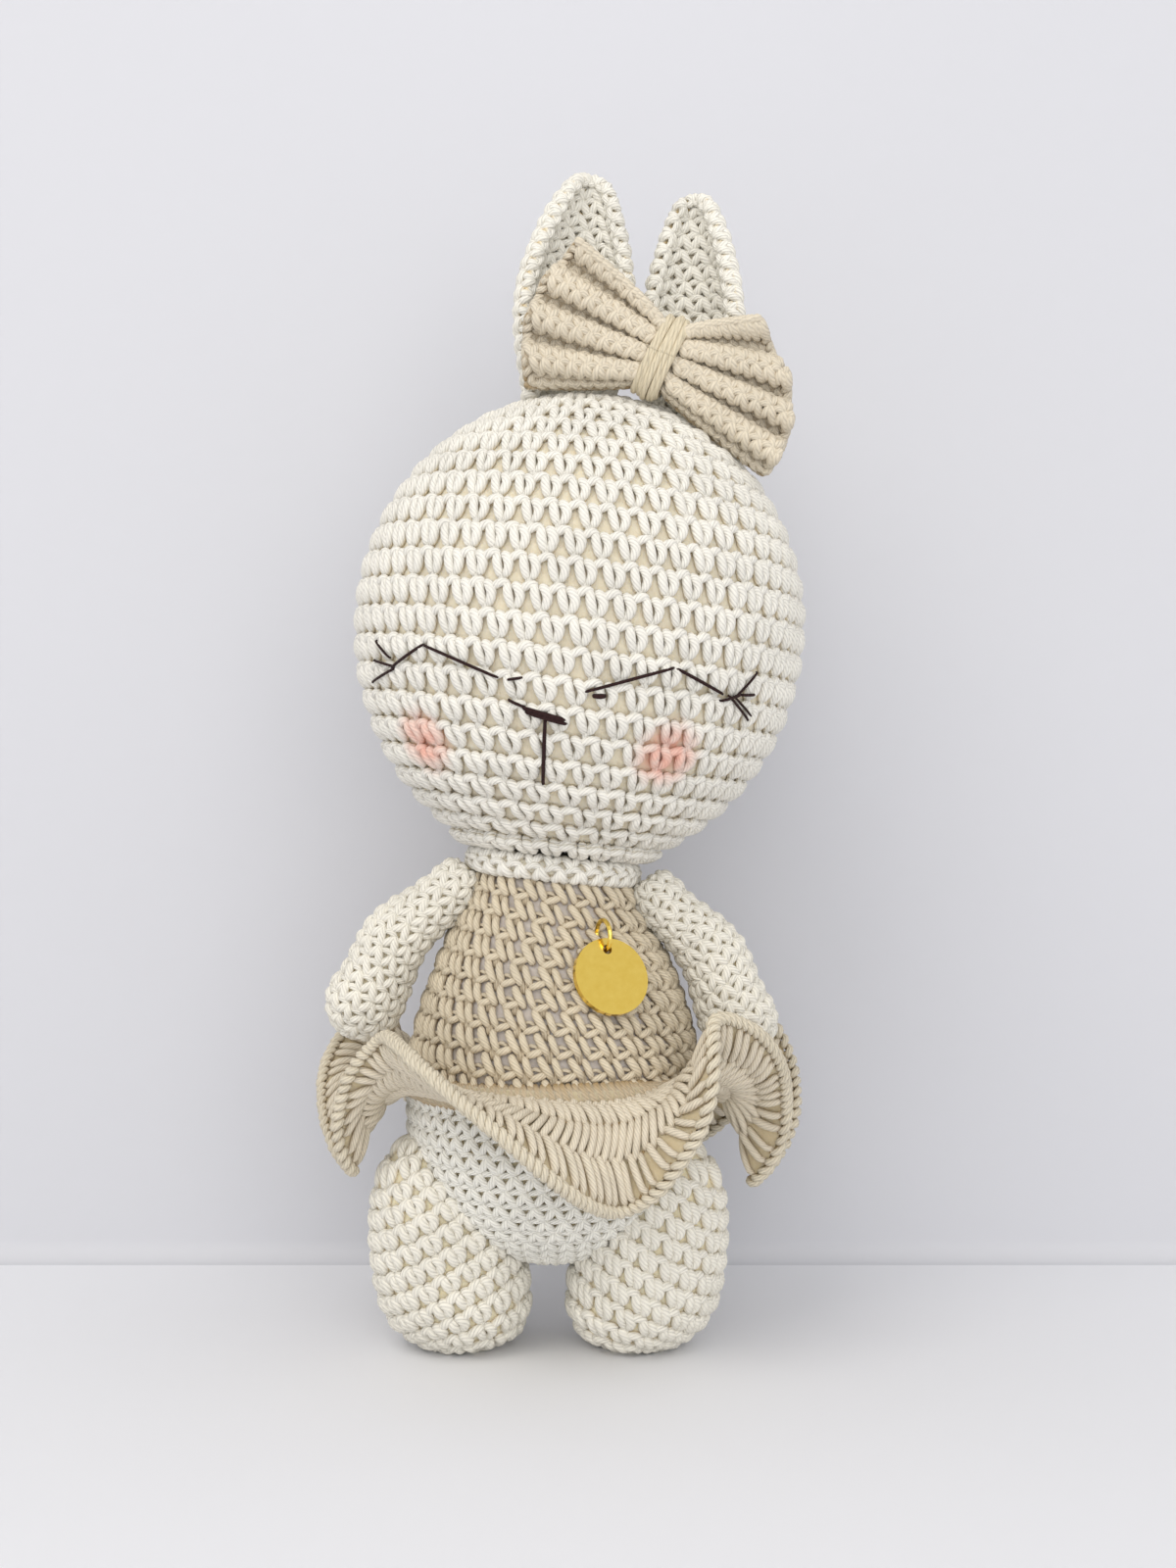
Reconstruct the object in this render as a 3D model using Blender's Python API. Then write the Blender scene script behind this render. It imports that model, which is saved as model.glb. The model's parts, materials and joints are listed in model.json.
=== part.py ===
"""A crocheted (amigurumi) doll with pleated bow, waved flounce and a gold disc charm.

Every piece is its own object: crocheted covers are open shells over fibre stuffing. The head
turns on the neck, the arms lift at the shoulders, the legs swing at the hips, the ears bend at
their seams, and the disc hangs on a jump ring hooked through one bar of the leotard.
The doll looks along -Y and stands on Z = 0. All lengths are in metres.
"""

import math

import bmesh
import bpy
import numpy as np
from mathutils import Matrix, Vector

# Crocheted wall, clearance and the run-out of every cutter
WALL = 0.0018
GAP = 0.0003
OVERRUN = 0.004

# Head, measured from its widest round
HEAD_HALF_WIDTH = 0.0359
HEAD_HALF_DEPTH = 0.0345
HEAD_CROWN = 0.0372
HEAD_CHIN = 0.0390
HEAD_TILT = math.radians(6.4)

# Neck
NECK_HEIGHT = 0.0780
NECK_RISE = 0.0373
NECK_OPENING_RADIUS = 0.0118
NECK_PLUG_RADIUS = 0.0104
NECK_SEAM_RADIUS = 0.0124
NECK_SEAM_THICKNESS = 0.0022

# Body: a round lower ball, about whose middle the legs swing, and a pear-shaped upper part
HIP_HEIGHT = 0.0370
HIP_RADIUS = 0.0235
WAIST_RISE = 0.0055
WAIST_HEIGHT = HIP_HEIGHT + WAIST_RISE
BODY_TOP_HEIGHT = NECK_HEIGHT - NECK_SEAM_THICKNESS - 2 * GAP
BODY_LEAN_SHARE = 0.56
BODY_LEAN_START = HIP_HEIGHT + BODY_LEAN_SHARE * (NECK_HEIGHT - HIP_HEIGHT)
BODY_PROFILE_SHARES = ((0.0, 1.0), (0.22, 1.0), (0.45, 0.92), (0.66, 0.795), (0.87, 0.63), (1.0, 0.56))

# Legs
LEG_RADIUS = 0.0124
LEG_LENGTH = 0.0350
LEG_MIDDLE_X = -0.0008
LEG_FOOT_X = 0.0138
LEG_TOP_X = 0.0190
LEG_FOOT_FORWARD = 0.0004
LEG_TOP_FORWARD = 0.0060
LEG_WIDEST_SHARE = 0.9
LEG_SOLE_CUT = 0.0005
LEG_SOLE_ROUND = 5.0
LEG_DOME_ROUND = 2.2
HIP_CUT_ALLOWANCE = 0.0001

# Arms: shoulder ball, then a swelling, slightly curved limb with a round hand
ARM_SHOULDER_RADIUS = 0.0042
ARM_HAND_RADIUS = 0.0063
ARM_MOUTH_RADIUS = 0.0026
ARM_BOW = 0.0022
ARM_FORWARD = 0.0030
ARM_BODY_CLEARANCE = 0.0005
ARM_BALL_ALLOWANCE = 0.0002
ARM_SWELL_SHARES = ((0.0, 1.0), (0.25, 1.18), (0.55, 1.38), (0.8, 1.5))
LEFT_SHOULDER_DROP = 0.0039
LEFT_SHOULDER = (-0.0155, NECK_HEIGHT - LEFT_SHOULDER_DROP)
LEFT_ARM_LENGTH = 0.0300
LEFT_ARM_SPREAD = math.radians(38.0)
RIGHT_SHOULDER_DROP = 0.0058
RIGHT_SHOULDER = (0.0166, NECK_HEIGHT - RIGHT_SHOULDER_DROP)
RIGHT_ARM_LENGTH = 0.0300
RIGHT_ARM_SPREAD = math.radians(33.0)

# Ears: cupped flaps, sewn on the crown behind the bow
EAR_WALL = 0.0020
EAR_CUP_ANGLE = math.radians(84.0)
EAR_WIDTH_SHARES = ((0.0, 0.72), (0.2, 0.92), (0.38, 1.0), (0.6, 0.88), (0.8, 0.56), (0.93, 0.29),
                    (1.0, 0.12))
EAR_ROW_SHARES = (-0.12, 0.05, 0.22, 0.38, 0.53, 0.67, 0.79, 0.89, 0.96, 1.0)
EAR_TIP_WALL_SHARE = 0.35
LEFT_EAR_BASE_X = -0.0056
LEFT_EAR_HEIGHT = 0.0362
LEFT_EAR_HALF_WIDTH = 0.0088
LEFT_EAR_TURN = math.radians(-18.0)
LEFT_EAR_LEAN = math.radians(-1.0)
RIGHT_EAR_BASE_X = 0.0126
RIGHT_EAR_HEIGHT = 0.0362
RIGHT_EAR_HALF_WIDTH = 0.0077
RIGHT_EAR_TURN = math.radians(24.0)
RIGHT_EAR_LEAN = math.radians(-3.2)
EAR_BACK_Y = 0.0050

# Bow: one ribbed strip, drawn in at the middle and pleated towards both ends
BOW_CENTRE = (0.0082, -0.0112, 0.0795)
BOW_TILT = math.radians(15.4)
BOW_WALL = 0.0024
BOW_PINCH_HALF_HEIGHT = 0.0056
BOW_PINCH_HALF_DEPTH = 0.0014
BOW_LEFT_LENGTH = 0.0215
BOW_LEFT_HALF_HEIGHT = 0.0113
BOW_RIGHT_LENGTH = 0.0222
BOW_RIGHT_HALF_HEIGHT = 0.0105
BOW_PLEATS = 3.5
BOW_PLEAT_DEPTH = 0.0016
BOW_PLEAT_GROWTH = 0.6
BOW_HEIGHT_GROWTH = 0.8
BOW_EDGE_THINNING = 0.75
BOW_EDGE_ROUND = 8
BOW_LEFT_END_SHARES = ((-1.0, 0.83), (-0.4, 0.97), (0.1, 1.0), (0.6, 0.95), (1.0, 0.86))
BOW_RIGHT_END_SHARES = ((-1.0, 0.97), (-0.5, 1.0), (0.0, 0.95), (0.55, 0.78), (1.0, 0.52))
BOW_SLOT_WIDTH = 0.0013
BOW_SLOT_DEPTH = 0.0110
BOW_SLOT_HEIGHT_SHARE = -0.62

# Wound yarn round the middle of the bow
WRAP_TURNS = 5
WRAP_YARN = 0.0009
WRAP_PITCH = 0.0014
WRAP_LOOP_POINTS = 24
WRAP_HALF_HEIGHT = 0.0066
WRAP_HALF_DEPTH = 0.0030

# Flounce: two rows worked outwards from the waist, and a chain edging on its rim
FLOUNCE_WIDTH = 0.0150
FLOUNCE_WALL = 0.0020
FLOUNCE_HEIGHT = WAIST_HEIGHT + WALL / 4
EDGING_THICKNESS = 0.0018
# Each row: angle round the waist from the front towards +X and slope of the panel in degrees,
# then the panel's span as a share of the width
FLOUNCE_FOLD_SHARES = (
    (-42, 38, 0.84),
    (-12, -4, 0.93),
    (19, -66, 1.00),
    (33, -20, 0.86),
    (43, 43, 0.96),
    (57, 36, 0.96),
    (74, -10, 0.84),
    (84, -62, 1.10),
    (98, -6, 0.96),
    (112, 40, 0.90),
    (131, -58, 0.96),
    (151, 26, 0.94),
    (172, -58, 0.96),
    (193, 26, 0.94),
    (214, -58, 0.96),
    (238, 38, 0.86),
    (250, 31, 0.82),
    (261, 6, 0.82),
    (272, -24, 0.84),
    (286, -55, 0.96),
    (296, -10, 0.72),
    (306, 34, 0.70),
)

# Gold jump ring and blank disc
CHARM_ANGLE = math.radians(25.5)
CHARM_HEIGHT_SHARE = 0.611
CHARM_HEIGHT = HIP_HEIGHT + CHARM_HEIGHT_SHARE * (BODY_TOP_HEIGHT - HIP_HEIGHT)
DISC_RADIUS = 0.0060
DISC_THICKNESS = 0.0010
DISC_HOLE_RADIUS = 0.00075
DISC_HOLE_OFFSET = 0.0042
DISC_REST_GAP = 0.0004
RING_RADIUS = 0.00235
RING_WIRE = 0.0007
RING_GROOVE_CLEARANCE = 0.0003

# Embroidered face, on the head: (across, up) from the widest round in shares of the half width
THREAD_THICKNESS = 0.0007
LEFT_EYE_SHARES = ((-0.86, -0.25), (-0.69, -0.12), (-0.48, -0.19), (-0.28, -0.27))
RIGHT_EYE_SHARES = ((0.05, -0.26), (0.24, -0.22), (0.43, -0.15), (0.55, -0.21), (0.67, -0.29))
NOSE_SHARES = ((-0.25, -0.37), (-0.15, -0.39), (-0.06, -0.40))
MOUTH_SHARES = ((-0.13, -0.46), (-0.13, -0.58), (-0.14, -0.69))

# Facets
ROUND_STEPS = 30
HEAD_LAYERS = 14
HEAD_INNER_LAYERS = 10
BODY_LAYERS = 9
LEG_STEPS = 20
LEG_LAYERS = 11
ARM_STEPS = 14
ARM_LAYERS = 7
ARM_END_LAYERS = 4
EAR_COLUMNS = 11
BOW_COLUMNS = 25
BOW_ROWS = 6
FINE_STEPS = 36
RING_STEPS = 24
RING_SIDES = 8
FLOUNCE_COLUMNS = 72
FLOUNCE_ROWS = 5
EDGING_SIDES = 6


def material(name, hex_colour, roughness, metallic=0.0):
    made = bpy.data.materials.new(name)
    made.use_nodes = True
    shader = made.node_tree.nodes["Principled BSDF"]
    srgb = [int(hex_colour[i:i + 2], 16) / 255 for i in (1, 3, 5)]
    linear = [c / 12.92 if c <= 0.04045 else ((c + 0.055) / 1.055) ** 2.4 for c in srgb]
    shader.inputs["Base Color"].default_value = (*linear, 1.0)
    shader.inputs["Roughness"].default_value = roughness
    shader.inputs["Metallic"].default_value = metallic
    made.diffuse_color = (*linear, 1.0)
    return made


def clear_scene():
    for obj in list(bpy.data.objects):
        bpy.data.objects.remove(obj)


def empty(name, parent=None, matrix=None):
    made = bpy.data.objects.new(name, None)
    bpy.context.scene.collection.objects.link(made)
    made.parent = parent
    if matrix is not None:
        made.matrix_local = matrix
    return made


def mesh_object(name, build, finish, parent):
    """A mesh object from build(bm), with its faces turned outwards."""
    bm = bmesh.new()
    build(bm)
    bmesh.ops.recalc_face_normals(bm, faces=bm.faces[:])
    mesh = bpy.data.meshes.new(name)
    bm.to_mesh(mesh)
    bm.free()
    mesh.shade_smooth()
    mesh.set_sharp_from_angle(angle=math.radians(40))
    obj = bpy.data.objects.new(name, mesh)
    bpy.context.scene.collection.objects.link(obj)
    obj.parent = parent
    if finish is not None:
        mesh.materials.append(finish)
    return obj


def lofted(name, rings, finish, parent, looped=False):
    """Skins a list of rings. A ring of one point is a pole, and looped joins the last to the first."""

    def build(bm):
        rows = [[bm.verts.new(point) for point in ring] for ring in rings]
        pairs = list(zip(rows, rows[1:])) + ([(rows[-1], rows[0])] if looped else [])
        for near, far in pairs:
            count = max(len(near), len(far))
            for i in range(count):
                j = (i + 1) % count
                if len(near) == 1 and len(far) == 1:
                    continue
                if len(near) == 1:
                    bm.faces.new((near[0], far[j], far[i]))
                elif len(far) == 1:
                    bm.faces.new((near[i], near[j], far[0]))
                else:
                    bm.faces.new((near[i], near[j], far[j], far[i]))
        if not looped:
            for end in (rows[0], rows[-1]):
                if len(end) > 1:
                    bm.faces.new(end)

    return mesh_object(name, build, finish, parent)


def slab(name, grid, offsets, finish, parent, looped=False):
    """A closed solid between grid + offsets and grid - offsets. Looped joins its last and first columns."""
    columns, rows = grid.shape[:2]

    def build(bm):
        sides = []
        for sign in (1, -1):
            sides.append([[bm.verts.new(grid[i, j] + sign * offsets[i, j]) for j in range(rows)]
                          for i in range(columns)])
        last = columns if looped else columns - 1
        for side in sides:
            for i in range(last):
                k = (i + 1) % columns
                for j in range(rows - 1):
                    bm.faces.new((side[i][j], side[k][j], side[k][j + 1], side[i][j + 1]))
        front, back = sides
        for i in range(last):
            k = (i + 1) % columns
            for j in (0, rows - 1):
                bm.faces.new((front[i][j], front[k][j], back[k][j], back[i][j]))
        if not looped:
            for i in (0, columns - 1):
                for j in range(rows - 1):
                    bm.faces.new((front[i][j], front[i][j + 1], back[i][j + 1], back[i][j]))

    return mesh_object(name, build, finish, parent)


def tube(name, points, thickness, finish, parent, closed=False):
    """A round tube along the points, as a bevelled poly curve."""
    curve = bpy.data.curves.new(name, "CURVE")
    curve.dimensions = "3D"
    curve.bevel_depth = thickness / 2
    curve.bevel_resolution = 1
    curve.use_fill_caps = True
    spline = curve.splines.new("POLY")
    spline.points.add(len(points) - 1)
    for target, point in zip(spline.points, points):
        target.co = (*point, 1.0)
    spline.use_cyclic_u = closed
    spline.use_smooth = True
    obj = bpy.data.objects.new(name, curve)
    bpy.context.scene.collection.objects.link(obj)
    obj.parent = parent
    curve.materials.append(finish)
    return obj


def cutter(obj):
    obj.hide_render = True
    obj.display_type = "WIRE"
    return obj


def cut(obj, tool):
    """Takes the tool's shape out of the object."""
    boolean = obj.modifiers.new("cut_" + tool.name, "BOOLEAN")
    boolean.operation = "DIFFERENCE"
    boolean.object = tool


def ring_of(radius_x, radius_y, height, steps, centre=(0.0, 0.0)):
    turn = np.arange(steps) * 2 * math.pi / steps
    return np.stack([centre[0] + radius_x * np.cos(turn), centre[1] + radius_y * np.sin(turn),
                     np.full(steps, height)], axis=1)


def smooth(shares, x):
    """A smooth curve through a table of (place, value) shares."""
    places, values = np.array(shares, float).T
    slopes = np.gradient(values, places)
    i = np.clip(np.searchsorted(places, x, side="right") - 1, 0, len(places) - 2)
    width = places[i + 1] - places[i]
    t = np.clip((x - places[i]) / width, 0, 1)
    return ((2 * t**3 - 3 * t**2 + 1) * values[i] + (t**3 - 2 * t**2 + t) * width * slopes[i]
            + (3 * t**2 - 2 * t**3) * values[i + 1] + (t**3 - t**2) * width * slopes[i + 1])


def sphere_rings(radius, centre, steps, layers):
    rings = [np.array([[centre[0], centre[1], centre[2] - radius]])]
    for layer in range(1, layers):
        tilt = math.pi * layer / layers
        height = centre[2] - radius * math.cos(tilt)
        rings.append(ring_of(radius * math.sin(tilt), radius * math.sin(tilt), height, steps, centre[:2]))
    return rings + [np.array([[centre[0], centre[1], centre[2] + radius]])]


def head_ring(level, inset, steps=ROUND_STEPS):
    """A round of the head at this elevation, inset from its outer surface, in the neck's frame."""
    drop = (HEAD_CROWN if level > 0 else HEAD_CHIN) - inset
    height = NECK_RISE + drop * math.sin(level)
    if level >= math.pi / 2:
        return np.array([[0.0, 0.0, height]])
    return ring_of((HEAD_HALF_WIDTH - inset) * math.cos(level), (HEAD_HALF_DEPTH - inset) * math.cos(level),
                   height, steps)


def make_head(head, finishes):
    lowest = -math.acos(NECK_OPENING_RADIUS / HEAD_HALF_WIDTH)
    inner_levels = np.linspace(lowest, math.pi / 2, HEAD_INNER_LAYERS)
    outer = [head_ring(level, 0) for level in np.linspace(lowest, math.pi / 2, HEAD_LAYERS)]
    inner = [head_ring(level, WALL) for level in inner_levels[::-1]]
    lofted("head_cover", outer + inner, finishes["head"], head, looped=True)
    plug = [ring_of(NECK_PLUG_RADIUS, NECK_PLUG_RADIUS, GAP, ROUND_STEPS)]
    ball = [head_ring(level, WALL + GAP) for level in inner_levels]
    lofted("head_stuffing", plug + ball, finishes["stuffing"], head)
    drop = -GAP - NECK_SEAM_THICKNESS / 2
    circle = ring_of(NECK_SEAM_RADIUS, NECK_SEAM_RADIUS, drop, ROUND_STEPS)
    tube("neck_seam", circle, NECK_SEAM_THICKNESS, finishes["head"], head, closed=True)


def on_head(across, up, lift):
    """A point on the front of the head, lifted off it, from shares of its half width."""
    x, z = across * HEAD_HALF_WIDTH, up * HEAD_HALF_WIDTH
    drop = HEAD_CROWN if z > 0 else HEAD_CHIN
    depth = HEAD_HALF_DEPTH * math.sqrt(1 - (x / HEAD_HALF_WIDTH) ** 2 - (z / drop) ** 2)
    point = Vector((x, -depth, z))
    normal = Vector((x / HEAD_HALF_WIDTH**2, -depth / HEAD_HALF_DEPTH**2, z / drop**2)).normalized()
    return point + normal * lift + Vector((0, 0, NECK_RISE))


def make_face(head, finishes):
    lift = GAP + THREAD_THICKNESS / 2
    strokes = {"left_eye_thread": LEFT_EYE_SHARES, "right_eye_thread": RIGHT_EYE_SHARES,
               "nose_thread": NOSE_SHARES, "mouth_thread": MOUTH_SHARES}
    for name, shares in strokes.items():
        points = []
        for (x0, z0), (x1, z1) in zip(shares, shares[1:]):
            points += [on_head(x0 + (x1 - x0) * t, z0 + (z1 - z0) * t, lift) for t in (0, 1 / 3, 2 / 3)]
        points.append(on_head(*shares[-1], lift))
        tube(name, points, THREAD_THICKNESS, finishes["thread"], head)


def make_ear(name, base_x, height, half_width, turn, lean, head, finish, head_block):
    """A cupped flap: its back stands on the crown, and its two edges curl forwards."""
    away = (base_x / HEAD_HALF_WIDTH) ** 2 + (EAR_BACK_Y / HEAD_HALF_DEPTH) ** 2
    base_z = NECK_RISE + HEAD_CROWN * math.sqrt(1 - away)
    place = Matrix.Translation((base_x, EAR_BACK_Y, base_z)) @ Matrix.Rotation(lean, 4, "Y")
    pivot = empty(name + "_hinge", head, place)
    across = np.linspace(-1, 1, EAR_COLUMNS)
    grid = np.empty((EAR_COLUMNS, len(EAR_ROW_SHARES), 3))
    offsets = np.empty_like(grid)
    for j, row in enumerate(EAR_ROW_SHARES):
        share = smooth(EAR_WIDTH_SHARES, max(row, 0.0))
        bend = EAR_CUP_ANGLE * across + turn
        radius = half_width * share
        grid[:, j, 0] = radius * np.sin(bend)
        grid[:, j, 1] = radius * (np.cos(bend) - 1) - EAR_WALL / 2
        grid[:, j, 2] = height * row
        thin = EAR_WALL / 2 * min(1.0, EAR_TIP_WALL_SHARE + share)
        offsets[:, j, 0] = thin * np.sin(bend)
        offsets[:, j, 1] = thin * np.cos(bend)
        offsets[:, j, 2] = 0.0
    ear = slab(name, grid, offsets, finish, pivot)
    cut(ear, head_block)
    return pivot


def make_ears(head, finishes, head_block):
    make_ear("left_ear", LEFT_EAR_BASE_X, LEFT_EAR_HEIGHT, LEFT_EAR_HALF_WIDTH, LEFT_EAR_TURN, LEFT_EAR_LEAN,
             head, finishes["trim"], head_block)
    make_ear("right_ear", RIGHT_EAR_BASE_X, RIGHT_EAR_HEIGHT, RIGHT_EAR_HALF_WIDTH, RIGHT_EAR_TURN,
             RIGHT_EAR_LEAN, head, finishes["trim"], head_block)


def bow_loop(name, side, length, half_height, end_shares, bow, finish):
    """Half of the strip: flat at the pinch, then opening out in pleats that deepen towards its end."""
    pinch = WRAP_PITCH * WRAP_TURNS / 2 + WRAP_YARN
    across = np.linspace(-1, 1, BOW_COLUMNS)
    along = np.concatenate([[-1.0], np.linspace(0, 1, BOW_ROWS)])
    grid = np.empty((len(across), len(along), 3))
    offsets = np.zeros_like(grid)
    for j, place in enumerate(along):
        share = max(place, 0.0)
        height = BOW_PINCH_HALF_HEIGHT + (half_height - BOW_PINCH_HALF_HEIGHT) * share ** BOW_HEIGHT_GROWTH
        reach = pinch * (1 + min(place, 0.0)) + (length * smooth(end_shares, across) - pinch) * share
        grid[:, j, 0] = side * (GAP / 2 + reach)
        grid[:, j, 2] = across * height
        pleat = BOW_PLEAT_DEPTH * share ** BOW_PLEAT_GROWTH
        grid[:, j, 1] = pleat * np.sin(across * math.pi * BOW_PLEATS)
        half = BOW_PINCH_HALF_DEPTH + (BOW_WALL / 2 - BOW_PINCH_HALF_DEPTH) * share
        offsets[:, j, 1] = half * np.sqrt(1 - BOW_EDGE_THINNING * across ** BOW_EDGE_ROUND)
    return slab(name, grid, offsets, finish, bow)


def make_bow(head, finishes, head_block):
    place = Matrix.Translation(BOW_CENTRE) @ Matrix.Rotation(BOW_TILT, 4, "Y")
    bow = empty("bow", head, place)
    left = bow_loop("bow_left_loop", -1, BOW_LEFT_LENGTH, BOW_LEFT_HALF_HEIGHT, BOW_LEFT_END_SHARES, bow,
                    finishes["beige"])
    right = bow_loop("bow_right_loop", 1, BOW_RIGHT_LENGTH, BOW_RIGHT_HALF_HEIGHT, BOW_RIGHT_END_SHARES, bow,
                     finishes["beige"])
    slot_height = BOW_SLOT_HEIGHT_SHARE * BOW_RIGHT_HALF_HEIGHT
    inner, outer = BOW_RIGHT_LENGTH - BOW_SLOT_DEPTH, BOW_RIGHT_LENGTH + OVERRUN
    slot = [np.array([(inner, -OVERRUN, z), (outer, -OVERRUN, z), (outer, 0.0, z), (inner, 0.0, z)])
            for z in (slot_height - BOW_SLOT_WIDTH / 2, slot_height + BOW_SLOT_WIDTH / 2)]
    cut(right, cutter(lofted("bow_slot", slot, None, bow)))
    cut(left, head_block)
    cut(right, head_block)
    make_wrap(bow, finishes)


def make_wrap(bow, finishes):
    """One unbroken yarn wound round the middle of the bow."""
    points = []
    total = WRAP_TURNS * WRAP_LOOP_POINTS
    for i in range(total + 1):
        turn = 2 * math.pi * i / WRAP_LOOP_POINTS
        x = (i / total - 0.5) * WRAP_PITCH * WRAP_TURNS
        points.append(Vector((x, -WRAP_HALF_DEPTH * math.cos(turn), WRAP_HALF_HEIGHT * math.sin(turn))))
    least = least_gap(points, WRAP_LOOP_POINTS, WRAP_YARN)
    print(f"bow wrap: least gap between turns {least * 1000:.2f} mm")
    tube("bow_wrap", points, WRAP_YARN, finishes["wrap"], bow)


def least_gap(points, loop_points, thickness):
    """The least free space between points of one tube that lie at least half a turn apart on it."""
    places = np.array(points)
    apart = np.linalg.norm(places[:, None] - places[None, :], axis=2)
    order = np.arange(len(places))
    near = np.abs(order[:, None] - order[None, :]) < loop_points / 2
    apart[near] = np.inf
    return apart.min() - thickness


def body_radius(height):
    """The outer radius of the body at this height."""
    if height <= HIP_HEIGHT:
        return math.sqrt(max(HIP_RADIUS**2 - (HIP_HEIGHT - height) ** 2, 0.0))
    return HIP_RADIUS * smooth(BODY_PROFILE_SHARES, (height - HIP_HEIGHT) / (BODY_TOP_HEIGHT - HIP_HEIGHT))


def leaned(ring):
    """The upper body leans its rounds over to meet the tilted neck."""
    share = np.clip((ring[:, 2] - BODY_LEAN_START) / (NECK_HEIGHT - BODY_LEAN_START), 0, 1)
    ring[:, 2] -= ring[:, 0] * math.tan(HEAD_TILT) * share
    return ring


def body_ring(height, inset, steps=ROUND_STEPS):
    radius = body_radius(height) - inset
    return leaned(ring_of(radius, radius, height, steps))


def ball_ring(tilt, inset, steps=ROUND_STEPS):
    """A round of the lower ball, at this angle from its lowest point."""
    radius = HIP_RADIUS - inset
    height = HIP_HEIGHT - radius * math.cos(tilt)
    if tilt <= 0:
        return np.array([[0.0, 0.0, height]])
    return ring_of(radius * math.sin(tilt), radius * math.sin(tilt), height, steps)


def make_body(doll, finishes, cutters):
    heights = np.linspace(WAIST_HEIGHT + GAP / 2, BODY_TOP_HEIGHT, BODY_LAYERS)
    outer = [body_ring(height, 0) for height in heights]
    inner = [body_ring(height, WALL) for height in heights[::-2]]
    leotard = lofted("leotard_cover", outer + inner, finishes["beige"], doll, looped=True)

    rim = WAIST_HEIGHT - GAP / 2
    tilts = np.linspace(0, math.pi / 2, BODY_LAYERS)
    outer = [ball_ring(tilt, 0) for tilt in tilts] + [body_ring(rim, 0)]
    inner = [body_ring(rim, WALL)] + [ball_ring(tilt, WALL) for tilt in tilts[::-1]]
    lofted("pants_cover", outer + inner, finishes["trim"], doll, looped=True)

    inset = WALL + GAP
    heights = np.linspace(WAIST_HEIGHT, BODY_TOP_HEIGHT, BODY_LAYERS)
    fill = [ball_ring(tilt, inset) for tilt in tilts[::2]]
    fill += [body_ring(height, inset) for height in heights]
    for height in (BODY_TOP_HEIGHT, NECK_HEIGHT):
        fill.append(leaned(ring_of(NECK_PLUG_RADIUS, NECK_PLUG_RADIUS, height, ROUND_STEPS)))
    stuffing = lofted("body_stuffing", fill, finishes["stuffing"], doll)
    for tool in cutters:
        cut(leotard, tool)
        cut(stuffing, tool)


def flounce_folds(columns):
    """Waist angle, slope and span of the panel at evenly spaced columns, smooth all the way round."""
    table = np.array(FLOUNCE_FOLD_SHARES, float)
    closed = np.vstack([table[-2:] - [360, 0, 0], table, table[:2] + [360, 0, 0]])
    place = np.arange(len(closed)) - 2.0
    wanted = np.linspace(0, len(table), columns, endpoint=False)
    i = np.floor(wanted).astype(int) + 2
    t = (wanted - place[i])[:, None]
    p0, p1, p2, p3 = closed[i - 1], closed[i], closed[i + 1], closed[np.minimum(i + 2, len(closed) - 1)]
    return 0.5 * (2 * p1 + (p2 - p0) * t + (2 * p0 - 5 * p1 + 4 * p2 - p3) * t**2
                  + (3 * p1 - p0 - 3 * p2 + p3) * t**3)


def make_flounce(doll, finishes):
    columns = FLOUNCE_COLUMNS
    folds = flounce_folds(columns)
    angle, slope, span = np.radians(folds[:, 0]), np.radians(folds[:, 1:2]), folds[:, 2:3] * FLOUNCE_WIDTH
    outwards = np.stack([np.sin(angle), -np.cos(angle), np.zeros(columns)], axis=1)
    up = np.array([0.0, 0.0, 1.0])
    waist = body_radius(FLOUNCE_HEIGHT) + GAP
    root = outwards * waist + up * FLOUNCE_HEIGHT
    reach, rise = span * np.cos(slope), span * np.sin(slope)
    edge = root + outwards * reach + up * rise
    knee = root + outwards * (reach / 2 + FLOUNCE_WALL) + up * (rise / 4)
    grid = np.empty((columns, FLOUNCE_ROWS, 3))
    for j, t in enumerate(np.linspace(0, 1, FLOUNCE_ROWS)):
        grid[:, j] = root * (1 - t) ** 2 + knee * 2 * t * (1 - t) + edge * t**2
    along = np.roll(grid, -1, axis=0) - np.roll(grid, 1, axis=0)
    outward = np.gradient(grid, axis=1)
    normal = np.cross(along, outward)
    normal /= np.linalg.norm(normal, axis=2, keepdims=True)
    normal[:, 0] = up
    slab("flounce", grid, normal * FLOUNCE_WALL / 2, finishes["beige"], doll, looped=True)
    tip = np.cross(normal[:, -1], along[:, -1])
    tip *= np.sign(np.sum(tip * outward[:, -1], axis=1, keepdims=True))
    tip /= np.linalg.norm(tip, axis=1, keepdims=True)
    make_edging(edge, tip, normal[:, -1], doll, finishes)


def make_edging(edge, tip, normal, doll, finishes):
    """A round edging that stands one gap off the flounce's rim."""
    middle = edge + tip * (GAP + EDGING_THICKNESS / 2)
    radius = EDGING_THICKNESS / 2
    rings = []
    for i in range(FLOUNCE_COLUMNS):
        turns = np.arange(EDGING_SIDES) * 2 * math.pi / EDGING_SIDES
        rings.append(np.array([middle[i] + radius * (math.cos(a) * tip[i] + math.sin(a) * normal[i])
                               for a in turns]))
    lofted("flounce_edging", rings, finishes["edging"], doll, looped=True)


def leg_radius_at(height, inset):
    """A flattened sole, straight sides and a round dome, as one superellipse each."""
    low, high = inset - LEG_SOLE_CUT, LEG_LENGTH - inset
    radius = LEG_RADIUS - inset
    middle = LEG_RADIUS * LEG_WIDEST_SHARE
    if height < middle:
        share, power = (middle - height) / (middle - low), LEG_SOLE_ROUND
    else:
        share, power = (height - middle) / (high - middle), LEG_DOME_ROUND
    return radius * max(1 - min(share, 1.0) ** power, 0.0) ** (1 / power)


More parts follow.
